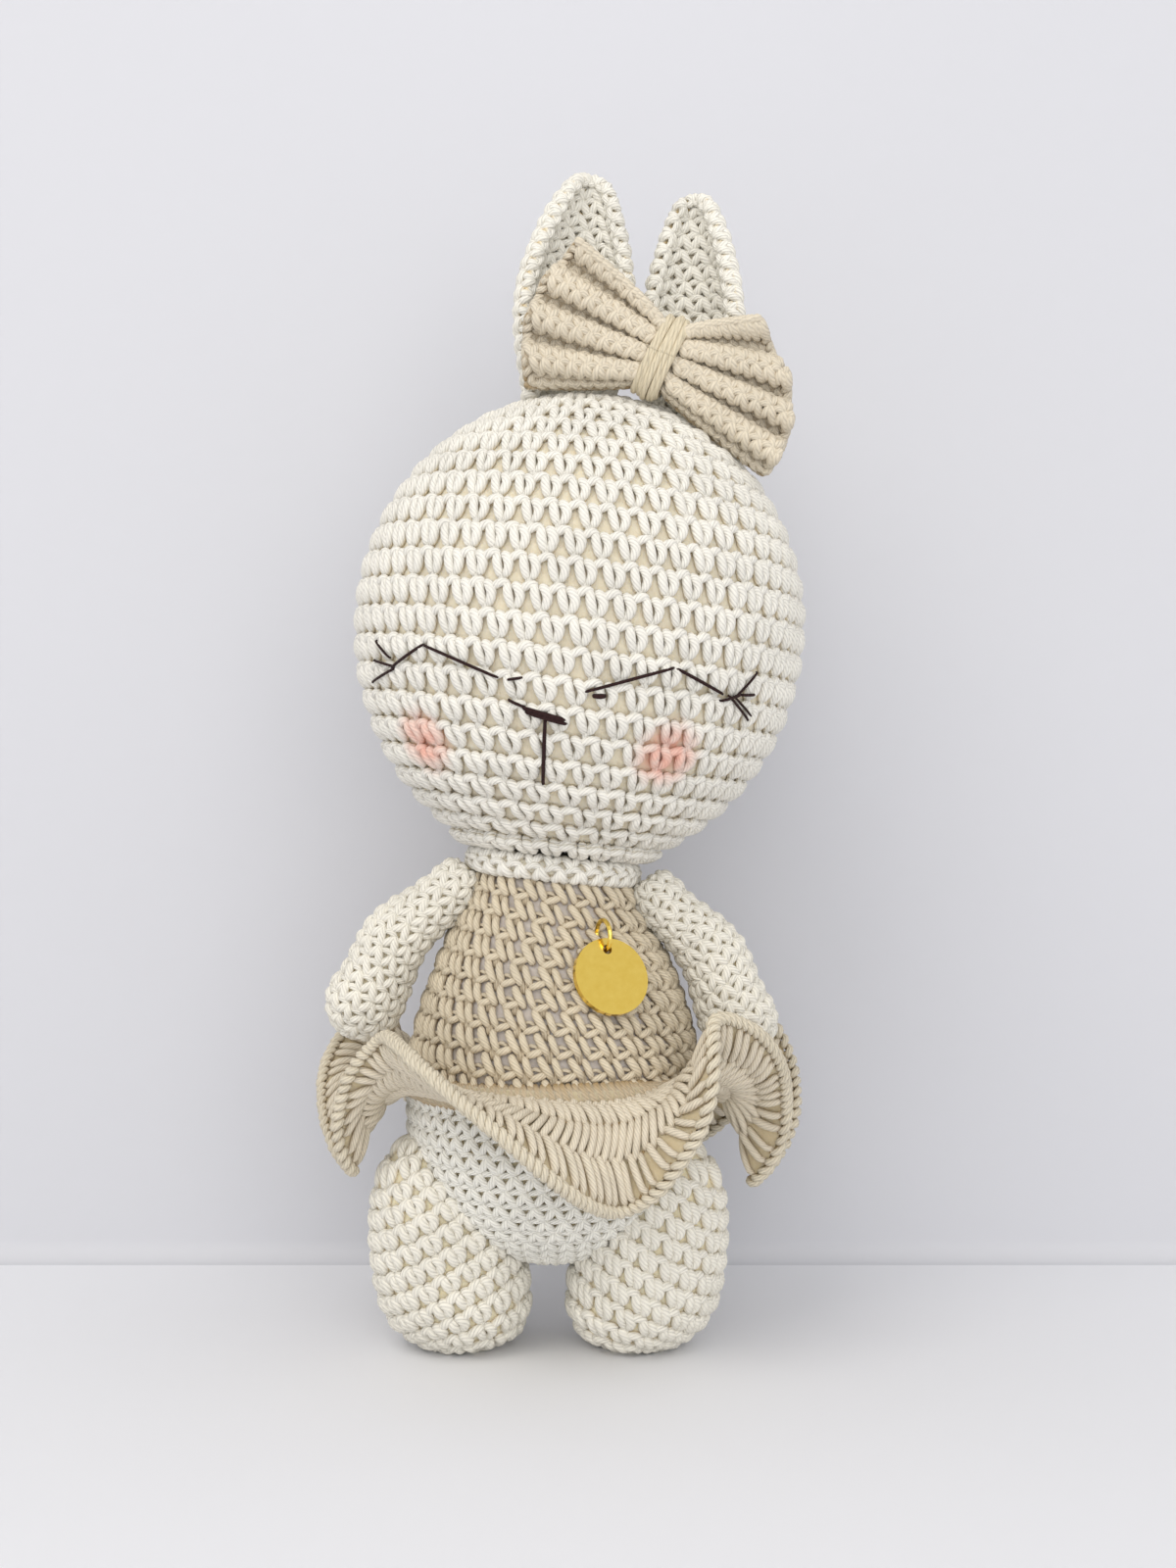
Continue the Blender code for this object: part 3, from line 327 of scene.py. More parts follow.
class Strands:
    """Round yarn strands gathered into one mesh, with their plies' map and their height above the skin."""

    def __init__(self):
        self.points, self.quads, self.caps = [], [], []
        self.maps, self.painted_shade_heights = [], []
        self.total = 0

    def add(self, paths, normals, radii, heights, sides=8):
        """paths and normals are (strands, points, 3), radii (strands, points), heights in millimetres."""
        strands, count = paths.shape[:2]
        heading = unit(np.gradient(paths, axis=1))
        out = unit(normals - heading * np.sum(normals * heading, axis=2, keepdims=True))
        side = np.cross(heading, out)
        turn = np.arange(sides) * 2 * math.pi / sides
        spokes = (np.cos(turn)[:, None] * out[:, :, None, :] + np.sin(turn)[:, None] * side[:, :, None, :])
        points = paths[:, :, None, :] + radii[:, :, None, None] * spokes
        reach = np.sum(spokes * normals[:, :, None, :], axis=3) * radii[:, :, None] / MM
        self.painted_shade_heights.append((heights[:, :, None] + reach).ravel())
        index = self.total + np.arange(strands * count * sides).reshape(strands, count, sides)
        after = np.roll(index, -1, axis=2)
        rings = np.stack([index[:, :-1], after[:, :-1], after[:, 1:], index[:, 1:]], axis=-1)
        self.quads.append(rings.reshape(-1, 4))
        length = np.linalg.norm(np.diff(paths, axis=1), axis=2)
        v = np.concatenate([np.zeros((strands, 1)), np.cumsum(length, axis=1)], axis=1) / MM
        v = v + np.arange(strands)[:, None] * PLY_SLIP_MM
        u0 = np.broadcast_to(np.arange(sides) / sides, index[:, :-1].shape)
        u1 = u0 + 1 / sides
        v0 = np.broadcast_to(v[:, :-1, None], index[:, :-1].shape)
        v1 = np.broadcast_to(v[:, 1:, None], index[:, :-1].shape)
        corners = [np.stack(pair, axis=-1) for pair in ((u0, v0), (u1, v0), (u1, v1), (u0, v1))]
        self.maps.append(np.stack(corners, axis=-2).reshape(-1, 4, 2))
        self.caps.append(np.concatenate([index[:, 0, ::-1], index[:, -1]]))
        self.points.append(points.reshape(-1, 3))
        self.total += index.size

    def mesh(self, name, material, body, *nodes):
        """All the strands as one piece, with capped ends."""
        quads = np.concatenate(self.quads)
        caps = [list(cap) for group in self.caps for cap in group]
        cap_loops = np.array([i for cap in caps for i in cap], np.int32)
        loops = np.concatenate([quads.ravel(), cap_loops]).astype(np.int32)
        starts = np.concatenate([np.arange(len(quads)) * 4,
                                 quads.size + np.cumsum([0] + [len(cap) for cap in caps])[:-1]])
        maps = np.concatenate([np.concatenate(self.maps).reshape(-1, 2), np.zeros((len(cap_loops), 2))])
        mesh = bpy.data.meshes.new(name)
        points = np.concatenate(self.points)
        mesh.vertices.add(len(points))
        mesh.vertices.foreach_set("co", points.astype(np.float32).ravel())
        mesh.loops.add(len(loops))
        mesh.loops.foreach_set("vertex_index", loops)
        mesh.polygons.add(len(starts))
        mesh.polygons.foreach_set("loop_start", starts.astype(np.int32))
        mesh.update(calc_edges=True)
        mesh.shade_smooth()
        layer = mesh.uv_layers.new(name="Yarn")
        layer.data.foreach_set("uv", maps.astype(np.float32).ravel())
        # The lift attribute, each point's height above the skin in millimetres, is the mask of the yarns'
        # painted shade
        lift = mesh.attributes.new("lift", "FLOAT", "POINT")
        lift.data.foreach_set("value", np.concatenate(self.painted_shade_heights).astype(np.float32))
        return piece(name, mesh, material, body, *nodes)


def piece(name, mesh, material, body, *nodes):
    """Puts a mesh into the scene on its body, standing for the CAD nodes given."""
    made = bpy.data.objects.new(name, mesh)
    bpy.context.scene.collection.objects.link(made)
    mesh.materials.append(material)
    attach(made, body)
    if nodes:
        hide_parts(*nodes)
    return made


def plump(count, ends=0.62):
    """A strand's thickness along its length, thin where it dives."""
    return ends + (1 - ends) * np.sin(np.pi * np.linspace(0, 1, count)) ** 0.5


def crochet(strands, skin, rows, stitch, random, sink, thickness=1.0, shift=None, keep=None, mirror=False):
    """Works the rows of stitches on the skin, with the strands' middles sunk below it in millimetres.

    Shift slides points along s, and keep drops the strands that other pieces hide.
    """
    for top, bottom, count, phase in rows:
        k = np.arange(count)[:, None]
        slip = random.uniform(-HAND_SLIP, HAND_SLIP, (count, 1))
        swell = random.uniform(*HAND_SWELL, (count, 1))
        for millimetres, points in stitch:
            curve = spline(points, STRAND_POINTS if len(points) > 3 else SHORT_STRAND_POINTS)
            a, b, c = curve.T
            if mirror:
                a = 1 - a
            u = (k + phase + slip + a) / count
            s = top + (bottom - top) * b + np.zeros_like(u)
            if shift is not None:
                s = s + shift(u, s)
            height = c + sink + random.uniform(-HAND_RISE, HAND_RISE, (count, 1))
            paths, normals = skin.at(u, s, height * MM)
            radii = millimetres * MM / 2 * thickness * swell * plump(len(curve))
            heights = height - sink + np.zeros_like(u)
            if keep is not None:
                held = keep(paths.mean(axis=1))
                paths, normals, radii, heights = paths[held], normals[held], radii[held], heights[held]
            if len(paths):
                strands.add(paths, normals, radii, heights, 8 if millimetres > THIN_YARN_MM else 6)


def backing(name, skin, inset, material, body, random, rough=0.0, columns=96, rows=64):
    """The stuffing or yarn seen between the stitches, as a skin set in from the surface."""
    u = np.linspace(0, 1, columns, endpoint=not skin.closed)
    s = np.linspace(0, skin.length, rows)
    grid_u, grid_s = np.meshgrid(u, s, indexing="ij")
    bumps = random.uniform(-1, 1, grid_u.shape) * rough
    points = skin.at(grid_u, grid_s, -inset + bumps)[0]
    index = np.arange(columns * rows).reshape(columns, rows)
    last = columns if skin.closed else columns - 1
    i = np.arange(last)
    near, far = index[i], index[(i + 1) % columns]
    quads = np.stack([near[:, :-1], near[:, 1:], far[:, 1:], far[:, :-1]], axis=-1).reshape(-1, 4)
    mesh = bpy.data.meshes.new(name)
    mesh.from_pydata(points.reshape(-1, 3), [], quads.tolist())
    mesh.shade_smooth()
    made = piece(name, mesh, material, body)
    return made


def linear(hex_colour):
    """Scene-linear colour from an sRGB hex one."""
    srgb = [int(hex_colour[i:i + 2], 16) / 255 for i in (1, 3, 5)]
    return (*[c / 12.92 if c <= 0.04045 else ((c + 0.055) / 1.055) ** 2.4 for c in srgb], 1.0)


def add(tree, kind, links=None, **settings):
    """A node with its settings and its inputs, each a value or another node's output."""
    node = tree.nodes.new(kind)
    for key, value in settings.items():
        setattr(node, key, value)
    for key, value in (links or {}).items():
        if isinstance(value, bpy.types.NodeSocket):
            tree.links.new(value, node.inputs[key])
        else:
            node.inputs[key].default_value = value
    return node


def new_material(name, settings):
    """A material, its tree and its shader. What is the same all over is set on the shader's own sockets."""
    made = bpy.data.materials.new(name)
    made.use_nodes = True
    shader = made.node_tree.nodes["Principled BSDF"]
    for socket, value in settings.items():
        shader.inputs[socket].default_value = value
    return made, made.node_tree, shader


def patches(millimetres):
    """A pattern's scale for patches this wide, in whole patches to the metre."""
    return round(1 / (millimetres * MM))


def blushed(tree, colour, spots):
    """Pink pastel rubbed into the colour round each spot. It catches on some strands and misses others."""
    pink = bpy.context.scene.doll_colours.blush
    where = add(tree, "ShaderNodeTexCoord").outputs["Object"]
    patch = add(tree, "ShaderNodeTexNoise", {"Vector": where, "Scale": patches(2.38), "Detail": 2.0})
    for centre, radius in spots:
        away = add(tree, "ShaderNodeVectorMath", {0: where, 1: centre}, operation="DISTANCE")
        near = add(tree, "ShaderNodeMapRange", {"Value": away.outputs["Value"], "From Min": radius,
                                                "From Max": radius * 0.25, "To Min": 0.0, "To Max": 0.75},
                   interpolation_type="SMOOTHSTEP")
        uneven = add(tree, "ShaderNodeMapRange", {"Value": patch.outputs["Fac"], "From Min": 0.35,
                                                  "From Max": 0.62, "To Min": 0.55, "To Max": 1.0})
        share = add(tree, "ShaderNodeMath", {0: near.outputs["Result"], 1: uneven.outputs["Result"]},
                    operation="MULTIPLY")
        mixed = add(tree, "ShaderNodeMix", {"Factor": share.outputs[0], "A": colour, "B": pink},
                    data_type="RGBA")
        colour = mixed.outputs["Result"]
    return colour


def yarn_material(name, colour, deep, plies=7, pitch=5.5, spots=(), low_mm=-0.6, high_mm=0.35):
    """Soft cotton yarn twisted from several plies.

    The eye gets a dull, matt thread with a slanting groove between its plies, darkened there by painted
    shade, a faint halo of loose fibres, and a warmer, darker painted shade where the thread dives between
    its neighbours, for light that gets down there and bounces off cotton many times. Half of the plies
    show, and they go once round the thread in pitch millimetres. Colour turns to the painted shade colour
    deep from high_mm to low_mm above the skin.
    """
    made, tree, shader = new_material(name, {"Roughness": 0.95, "Specular IOR Level": 0.12,
                                             "Sheen Weight": 0.08, "Sheen Roughness": 0.5,
                                             "Sheen Tint": linear("#fff6e6")})
    strand = add(tree, "ShaderNodeSeparateXYZ",
                 {"Vector": add(tree, "ShaderNodeUVMap", uv_map="Yarn").outputs["UV"]})
    # The strand's map runs once round it in X, and in millimetres along it in Y
    along = add(tree, "ShaderNodeMath", {0: strand.outputs["Y"], 1: 1.0 / pitch}, operation="MULTIPLY")
    twist = add(tree, "ShaderNodeMath", {0: strand.outputs["X"], 1: along.outputs[0]}, operation="ADD")
    wave = add(tree, "ShaderNodeMath", {0: twist.outputs[0], 1: math.pi * plies}, operation="MULTIPLY")
    sine = add(tree, "ShaderNodeMath", {0: wave.outputs[0]}, operation="SINE")
    ridge = add(tree, "ShaderNodeMath", {0: sine.outputs[0]}, operation="ABSOLUTE")
    round_ply = add(tree, "ShaderNodeMath", {0: ridge.outputs[0], 1: 0.6}, operation="POWER")
    # Cotton fibres are about 0.02 mm thick. They are drawn as streaks 3 mm long, a few to each ply, so
    # that they show
    lengthwise = add(tree, "ShaderNodeMath", {0: strand.outputs["Y"], 1: 0.2}, operation="MULTIPLY")
    lane = add(tree, "ShaderNodeCombineXYZ", {"X": wave.outputs[0], "Y": lengthwise.outputs[0]})
    fibre = add(tree, "ShaderNodeTexNoise", {"Vector": lane.outputs[0], "Scale": 1.6, "Detail": 3.0,
                                             "Roughness": 0.7})
    streak = add(tree, "ShaderNodeMapRange", {"Value": fibre.outputs["Fac"], "From Min": 0.3,
                                              "From Max": 0.7, "To Min": 0.80, "To Max": 1.05})
    # Uneven tone from one stitch or two to the next
    where = add(tree, "ShaderNodeTexCoord").outputs["Object"]
    tone = add(tree, "ShaderNodeTexNoise", {"Vector": where, "Scale": patches(7.7), "Detail": 2.0})
    speck = add(tree, "ShaderNodeMapRange", {"Value": tone.outputs["Fac"], "From Min": 0.3,
                                             "From Max": 0.7, "To Min": 0.93, "To Max": 1.03})
    # Painted shade: the lift attribute, each point's height above the skin, turns the colour to deep where
    # the strand dives between its neighbours
    lift = add(tree, "ShaderNodeAttribute", attribute_name="lift")
    painted_shade_mask = add(tree, "ShaderNodeMapRange", {"Value": lift.outputs["Fac"], "From Min": low_mm,
                                             "From Max": high_mm})
    mixed = add(tree, "ShaderNodeMix", {"Factor": painted_shade_mask.outputs["Result"], "A": deep, "B": colour},
                data_type="RGBA")
    # Painted shade: the colour darkens to 0.82 of itself in the grooves between the plies
    shade = add(tree, "ShaderNodeMapRange", {"Value": round_ply.outputs[0], "To Min": 0.82, "To Max": 1.0})
    plied = add(tree, "ShaderNodeMath", {0: shade.outputs["Result"], 1: speck.outputs["Result"]},
                operation="MULTIPLY")
    value = add(tree, "ShaderNodeMath", {0: plied.outputs[0], 1: streak.outputs["Result"]},
                operation="MULTIPLY")
    toned = add(tree, "ShaderNodeVectorMath", {0: mixed.outputs["Result"], "Scale": value.outputs[0]},
                operation="SCALE")
    tinted = blushed(tree, toned.outputs[0], spots) if spots else toned.outputs[0]
    tree.links.new(tinted, shader.inputs["Base Color"])
    plies_bump = add(tree, "ShaderNodeBump", {"Height": round_ply.outputs[0], "Strength": 0.9,
                                              "Distance": 0.0001})
    fuzz = add(tree, "ShaderNodeBump", {"Height": fibre.outputs["Fac"], "Strength": 0.9,
                                        "Distance": 0.00009, "Normal": plies_bump.outputs[0]})
    tree.links.new(fuzz.outputs[0], shader.inputs["Normal"])
    return made


def fibre_material(name, colour, deep, spots=()):
    """Loose polyester stuffing, or the fuzz of yarn, as seen between the stitches.

    The eye gets a soft glow without edges, because light goes into the tangle and comes out beside it.
    Real fibres are about 0.03 mm thick, and are drawn as clumps 0.67 mm wide so that they show.
    """
    made, tree, shader = new_material(name, {"Roughness": 0.95, "Specular IOR Level": 0.2,
                                             "Subsurface Weight": 0.7, "Subsurface Scale": 0.002,
                                             "Subsurface Radius": (1.0, 0.92, 0.75)})
    where = add(tree, "ShaderNodeTexCoord").outputs["Object"]
    noise = add(tree, "ShaderNodeTexNoise", {"Vector": where, "Scale": patches(0.6667), "Detail": 5.0,
                                             "Roughness": 0.7, "Distortion": 1.5})
    mixed = add(tree, "ShaderNodeMix", {"Factor": noise.outputs["Fac"], "A": deep, "B": colour},
                data_type="RGBA")
    tinted = blushed(tree, mixed.outputs["Result"], spots) if spots else mixed.outputs["Result"]
    tree.links.new(tinted, shader.inputs["Base Color"])
    bump = add(tree, "ShaderNodeBump", {"Height": noise.outputs["Fac"], "Strength": 0.7,
                                        "Distance": 0.0003})
    tree.links.new(bump.outputs[0], shader.inputs["Normal"])
    return made


def gold_material(name, colour, deep):
    """Polished brass with a thin gold plating.

    The eye gets the room's pale reflection tinted yellow, sharp in most places and blurred where the
    blank was rubbed. Real rubbing marks are hair-fine, and are drawn 1.1 mm wide so that they show.
    """
    made, tree, shader = new_material(name, {"Metallic": 1.0})
    where = add(tree, "ShaderNodeTexCoord").outputs["Object"]
    rub = add(tree, "ShaderNodeTexNoise", {"Vector": where, "Scale": patches(1.111), "Detail": 4.0})
    tint = add(tree, "ShaderNodeMix", {"Factor": rub.outputs["Fac"], "A": deep, "B": colour},
               data_type="RGBA")
    tree.links.new(tint.outputs["Result"], shader.inputs["Base Color"])
    rough = add(tree, "ShaderNodeMapRange", {"Value": rub.outputs["Fac"], "To Min": 0.1, "To Max": 0.26})
    tree.links.new(rough.outputs["Result"], shader.inputs["Roughness"])
    bump = add(tree, "ShaderNodeBump", {"Height": rub.outputs["Fac"], "Strength": 0.15,
                                        "Distance": 0.00003})
    tree.links.new(bump.outputs[0], shader.inputs["Normal"])
    return made


def studio_material(name, colour, far):
    """Matt painted board: no gloss, and a tone that changes a little from one hand's width to the next."""
    made, tree, shader = new_material(name, {"Roughness": 0.75, "Specular IOR Level": 0.2})
    where = add(tree, "ShaderNodeTexCoord").outputs["Object"]
    tone = add(tree, "ShaderNodeTexNoise", {"Vector": where, "Scale": patches(167), "Detail": 1.0})
    mixed = add(tree, "ShaderNodeMix", {"Factor": tone.outputs["Fac"], "A": colour, "B": far},
                data_type="RGBA")
    tree.links.new(mixed.outputs["Result"], shader.inputs["Base Color"])
    return made


BLUSH_RADIUS = 0.0068
BLUSH_SPOTS = ((-0.595, -0.593), (0.428, -0.538))
# Each finish's maker, its material's name and its other settings. Its colours have its name
FINISHES = {
    "head": (yarn_material, "cream_cotton_plied_yarn", {}),
    "limbs": (yarn_material, "off_white_cotton_plied_yarn", {}),
    "pants": (yarn_material, "white_cotton_plied_yarn", {}),
    "leotard": (yarn_material, "beige_cotton_plied_yarn", {}),
    "flounce": (yarn_material, "beige_double_crochet_yarn", {}),
    "bow": (yarn_material, "beige_bow_yarn", {}),
    "edging": (yarn_material, "pale_beige_chain_yarn", {}),
    "wrap": (yarn_material, "wound_beige_yarn", {"plies": 4, "pitch": 9.0}),
    # Painted light: the ears' yarn is the head's cream yarn set lighter, against the shade in their cups
    "ear": (yarn_material, "ear_cotton_plied_yarn", {}),
    "thread": (yarn_material, "dark_brown_embroidery_thread",
               {"plies": 2, "pitch": 1.6, "low_mm": -0.4, "high_mm": 0.4}),
    "flounce_fuzz": (fibre_material, "beige_yarn_underlayer", {}),
    "head_fibre": (fibre_material, "head_stuffing_fibre", {}),
    "body_fibre": (fibre_material, "body_stuffing_fibre", {}),
    "limb_fibre": (fibre_material, "limb_backing_fibre", {}),
    "gold": (gold_material, "gold_plated_brass_polished", {}),
    "floor": (studio_material, "pale_studio_floor", {}),
    "wall": (studio_material, "pale_studio_wall", {}),
}
made_finishes = {}


def finish(key):
    """One of the doll's materials, made when it is first asked for."""
    if key not in made_finishes:
        maker, name, settings = FINISHES[key]
        colours = bpy.context.scene.doll_colours
        if key in ("head", "head_fibre"):
            spots = [(tuple(on_head(across, up, 0.0)[0]), BLUSH_RADIUS) for across, up in BLUSH_SPOTS]
            settings = {"spots": spots}
        # The second colour is painted shade for the yarns, and darker patches for the stuffing, gold and
        # boards
        made_finishes[key] = maker(name, getattr(colours, key), getattr(colours, key + "_painted_shade_and_patches"), **settings)
    return made_finishes[key]


def round_grid(ring, heights, steps=96, front=-math.pi / 2):
    """A grid for a closed skin. ring(height, angles) gives points, and u = 0.5 faces the front."""
    angles = front + 2 * math.pi * (np.arange(steps) / steps - 0.5)
    return np.stack([ring(height, angles) for height in heights], axis=1)


def head_skin():
    """The head from its crown to its neck opening."""
    lowest = -math.acos(NECK_OPENING_RADIUS / HEAD_HALF_WIDTH)

    def ring(level, angles):
        rise = HEAD_CROWN if level > 0 else HEAD_CHIN
        across = math.cos(level)
        return np.stack([HEAD_HALF_WIDTH * across * np.cos(angles), HEAD_HALF_DEPTH * across * np.sin(angles),
                         np.full(len(angles), NECK_RISE + rise * math.sin(level))], axis=1)

    return Skin(round_grid(ring, np.linspace(math.pi / 2, lowest, 80)), closed=True, place=HEAD_PLACE)


def on_head(across, up, lift):
    """Points and normals on the front of the head from shares of its half width."""
    x, z = np.asarray(across) * HEAD_HALF_WIDTH, np.asarray(up) * HEAD_HALF_WIDTH
    drop = np.where(z > 0, HEAD_CROWN, HEAD_CHIN)
    y = -HEAD_HALF_DEPTH * np.sqrt(1 - (x / HEAD_HALF_WIDTH) ** 2 - (z / drop) ** 2)
    normal = unit(np.stack([x / HEAD_HALF_WIDTH**2, y / HEAD_HALF_DEPTH**2, z / drop**2], axis=-1))
    point = np.stack([x, y, z + NECK_RISE], axis=-1) + normal * np.asarray(lift)[..., None]
    turn = np.array(HEAD_PLACE.to_3x3())
    return placed(point, HEAD_PLACE), normal @ turn.T


def body_radius(height):
    """A ball up to the hips, and a slim cone above it."""
    if height <= HIP_HEIGHT:
        return math.sqrt(max(HIP_RADIUS**2 - (HIP_HEIGHT - height) ** 2, 0.0))
    return HIP_RADIUS * smooth(BODY_PROFILE_SHARES, (height - HIP_HEIGHT) / (BODY_TOP_HEIGHT - HIP_HEIGHT))


def body_ring(height, angles):
    """A round of the body, which leans with the head towards the neck."""
    radius = body_radius(height)
    points = np.stack([radius * np.cos(angles), radius * np.sin(angles), np.full(len(angles), height)],
                      axis=1)
    share = np.clip((height - BODY_LEAN_START) / (NECK_HEIGHT - BODY_LEAN_START), 0, 1)
    points[:, 2] -= points[:, 0] * math.tan(HEAD_TILT) * share
    return points


def body_skin():
    """The leotard from the neck down to the waist."""
    return Skin(round_grid(body_ring, np.linspace(BODY_TOP_HEIGHT, WAIST_HEIGHT, 60)), closed=True,
                place=DOLL_PLACE)


def pants_skin():
    """The pants from the waist round to the middle of the seat."""
    tilts = np.linspace(0, math.pi / 2, 50)
    heights = [WAIST_HEIGHT] + [HIP_HEIGHT + HIP_RADIUS * -math.sin(t) for t in tilts]
    return Skin(round_grid(body_ring, heights), closed=True, place=DOLL_PLACE)


def leg_axis(side, lean):
    """Where the leg's middle lies, from 0 at the floor to 1 at its top."""
    x = LEG_MIDDLE_X + side * (LEG_FOOT_X + (LEG_TOP_X - LEG_FOOT_X) * lean)
    y = -LEG_FOOT_FORWARD - (LEG_TOP_FORWARD - LEG_FOOT_FORWARD) * lean
    return x, y


def leg_skin(side):
    """A leg from its rounded top to the middle of its sole."""
    middle = LEG_RADIUS * LEG_WIDEST_SHARE

    def ring(height, angles):
        if height < middle:
            share, power = (middle - height) / (middle + LEG_SOLE_CUT), LEG_SOLE_ROUND
        else:
            share, power = (height - middle) / (LEG_LENGTH - middle), LEG_DOME_ROUND
        radius = LEG_RADIUS * max(1 - min(share, 1.0) ** power, 0.0) ** (1 / power)
        x, y = leg_axis(side, height / LEG_LENGTH)
        return np.stack([x + radius * np.cos(angles), y + radius * np.sin(angles),
                         np.full(len(angles), height)], axis=1)

    heights = LEG_LENGTH * (1 + np.cos(np.linspace(0, math.pi, 60))) / 2
    points = round_grid(ring, heights)
    flat = round_grid(ring, [0.0])
    centre = flat.mean(axis=0, keepdims=True)
    inner = [flat * (1 - t) + centre * t for t in (0.25, 0.5, 0.75, 1.0)]
    return Skin(np.concatenate([points, *inner], axis=1), closed=True, place=DOLL_PLACE)


def arm_place(side, shoulder, spread):
    """At the shoulder, with the arm's own x outwards and its z back along it."""
    place = DOLL_PLACE @ Matrix.Translation((shoulder[0], -ARM_FORWARD, shoulder[1]))
    if side < 0:
        place = place @ Matrix.Rotation(math.pi, 4, "Z")
    return place @ Matrix.Rotation(-spread, 4, "Y")


def arm_skin(side, shoulder, length, spread):
    """An arm from its shoulder to the end of its rounded hand."""
    straight = length - ARM_HAND_RADIUS

    def ring(down, angles):
        if down < 0:
            radius, shift = ARM_SHOULDER_RADIUS * math.cos(-down), 0.0
            height = ARM_SHOULDER_RADIUS * math.sin(-down)
        elif down <= 1:
            radius = ARM_SHOULDER_RADIUS * smooth(ARM_SWELL_SHARES, down * ARM_SWELL_SHARES[-1][0])
            shift, height = ARM_BOW * math.sin(math.pi * down) ** 2, -down * straight
        else:
            tilt = (down - 1) * math.pi / 2
            radius, shift = ARM_HAND_RADIUS * math.cos(tilt), 0.0
            height = -straight - ARM_HAND_RADIUS * math.sin(tilt)
        return np.stack([shift + radius * np.cos(angles), radius * np.sin(angles),
                         np.full(len(angles), height)], axis=1)

    places = np.concatenate([np.linspace(-math.pi / 2, -0.05, 10), np.linspace(0, 1, 30),
                             np.linspace(1.05, 2, 18)])
    return Skin(round_grid(ring, places, 64, -math.pi / 2 * side), closed=True,
                place=arm_place(side, shoulder, spread))


def ear_grid(base_x, height, half_width, turn, lean):
    """The ear's middle surface and half wall, from its left to its right edge and its tip to its base."""
    away = (base_x / HEAD_HALF_WIDTH) ** 2 + (EAR_BACK_Y / HEAD_HALF_DEPTH) ** 2
    base_z = NECK_RISE + HEAD_CROWN * math.sqrt(1 - away)
    place = HEAD_PLACE @ Matrix.Translation((base_x, EAR_BACK_Y, base_z)) @ Matrix.Rotation(lean, 4, "Y")
    rows = 1.0 - EAR_DEPTH_SHARE * np.linspace(0, 1, 50)
    share = smooth(EAR_WIDTH_SHARES, np.maximum(rows, 0.0))
    bend = EAR_CUP_ANGLE * np.linspace(-1, 1, 41)[:, None] + turn
    radius = half_width * share[None, :]
    grid = np.stack([radius * np.sin(bend), radius * (np.cos(bend) - 1) - EAR_WALL / 2,
                     height * rows[None, :] + np.zeros_like(bend)], axis=-1)
    half = EAR_WALL / 2 * np.minimum(1.0, 0.35 + share)[None, :, None]
    offset = np.stack([np.sin(bend), np.cos(bend), np.zeros_like(bend)], axis=-1) * half
    return grid, offset, place


def bow_grid(side, length, half_height, end_shares):
    """The loop's middle surface and half wall, from the pinch to its end and top to bottom."""
    across = np.linspace(1, -1, 97)[None, :]
    share = np.linspace(0, 1, 40)[:, None]
    height = BOW_PINCH_HALF_HEIGHT + (half_height - BOW_PINCH_HALF_HEIGHT) * share ** BOW_HEIGHT_GROWTH
    reach = BOW_PINCH + (length * smooth(end_shares, across) - BOW_PINCH) * share
    pleat = BOW_PLEAT_DEPTH * share ** BOW_PLEAT_GROWTH
    grid = np.stack([side * (GAP / 2 + reach), pleat * np.sin(across * math.pi * BOW_PLEATS),
                     across * height], axis=-1)
    half = BOW_PINCH_HALF_DEPTH + (BOW_WALL / 2 - BOW_PINCH_HALF_DEPTH) * share
    offset = np.zeros_like(grid)
    offset[:, :, 1] = half
    if side < 0:
        grid, offset = grid[::-1], offset[::-1]
    return grid, offset


def flounce_folds(columns):
    """Angle, slope and span at each column, on a smooth curve through the table of folds."""
    table = np.array(FLOUNCE_FOLD_SHARES, float)
    closed = np.vstack([table[-2:] - [360, 0, 0], table, table[:2] + [360, 0, 0]])
    wanted = np.linspace(0, len(table), columns, endpoint=False)
    i = np.floor(wanted).astype(int) + 2
    t = (wanted - np.floor(wanted))[:, None]
    last = closed[np.minimum(i + 2, len(closed) - 1)]
    return between(closed[i - 1], closed[i], closed[i + 1], last, t)


def flounce_grid(columns=720, rows=13):
    """The flounce's middle surface from waist to rim, its upward normals and its outward tips."""
    folds = flounce_folds(columns)
    angle, slope, span = np.radians(folds[:, 0]), np.radians(folds[:, 1:2]), folds[:, 2:3] * FLOUNCE_WIDTH
    outwards = np.stack([np.sin(angle), -np.cos(angle), np.zeros(columns)], axis=1)
    up = np.array([0.0, 0.0, 1.0])
    root = outwards * (body_radius(FLOUNCE_HEIGHT) + GAP) + up * FLOUNCE_HEIGHT
    reach, rise = span * np.cos(slope), span * np.sin(slope)
    edge = root + outwards * reach + up * rise
    knee = root + outwards * (reach / 2 + FLOUNCE_WALL) + up * (rise / 4)
    t = np.linspace(0, 1, rows)[None, :, None]
    grid = root[:, None] * (1 - t) ** 2 + knee[:, None] * 2 * t * (1 - t) + edge[:, None] * t**2
    along = np.roll(grid, -1, axis=0) - np.roll(grid, 1, axis=0)
    outward = np.gradient(grid, axis=1)
    normal = unit(np.cross(along, outward))
    normal[:, 0] = up
    tip = np.cross(normal[:, -1], along[:, -1])
    tip = unit(tip * np.sign(np.sum(tip * outward[:, -1], axis=1, keepdims=True)))
    return evened(grid[:, rows // 2], grid, normal, tip)


def evened(line, *fields):
    """The fields' columns moved so that they lie evenly along the closed line."""
    steps = np.linalg.norm(np.roll(line, -1, axis=0) - line, axis=1)
    length = np.concatenate([[0.0], np.cumsum(steps)])
    wanted = np.linspace(0, length[-1], len(line), endpoint=False)
    column = np.interp(wanted, length, np.arange(len(line) + 1))
    near = column.astype(int)
    far = (near + 1) % len(line)
    mixed = []
    for field in fields:
        t = (column - near).reshape(-1, *[1] * (field.ndim - 1))
        mixed.append(field[near] * (1 - t) + field[far] * t)
    return mixed


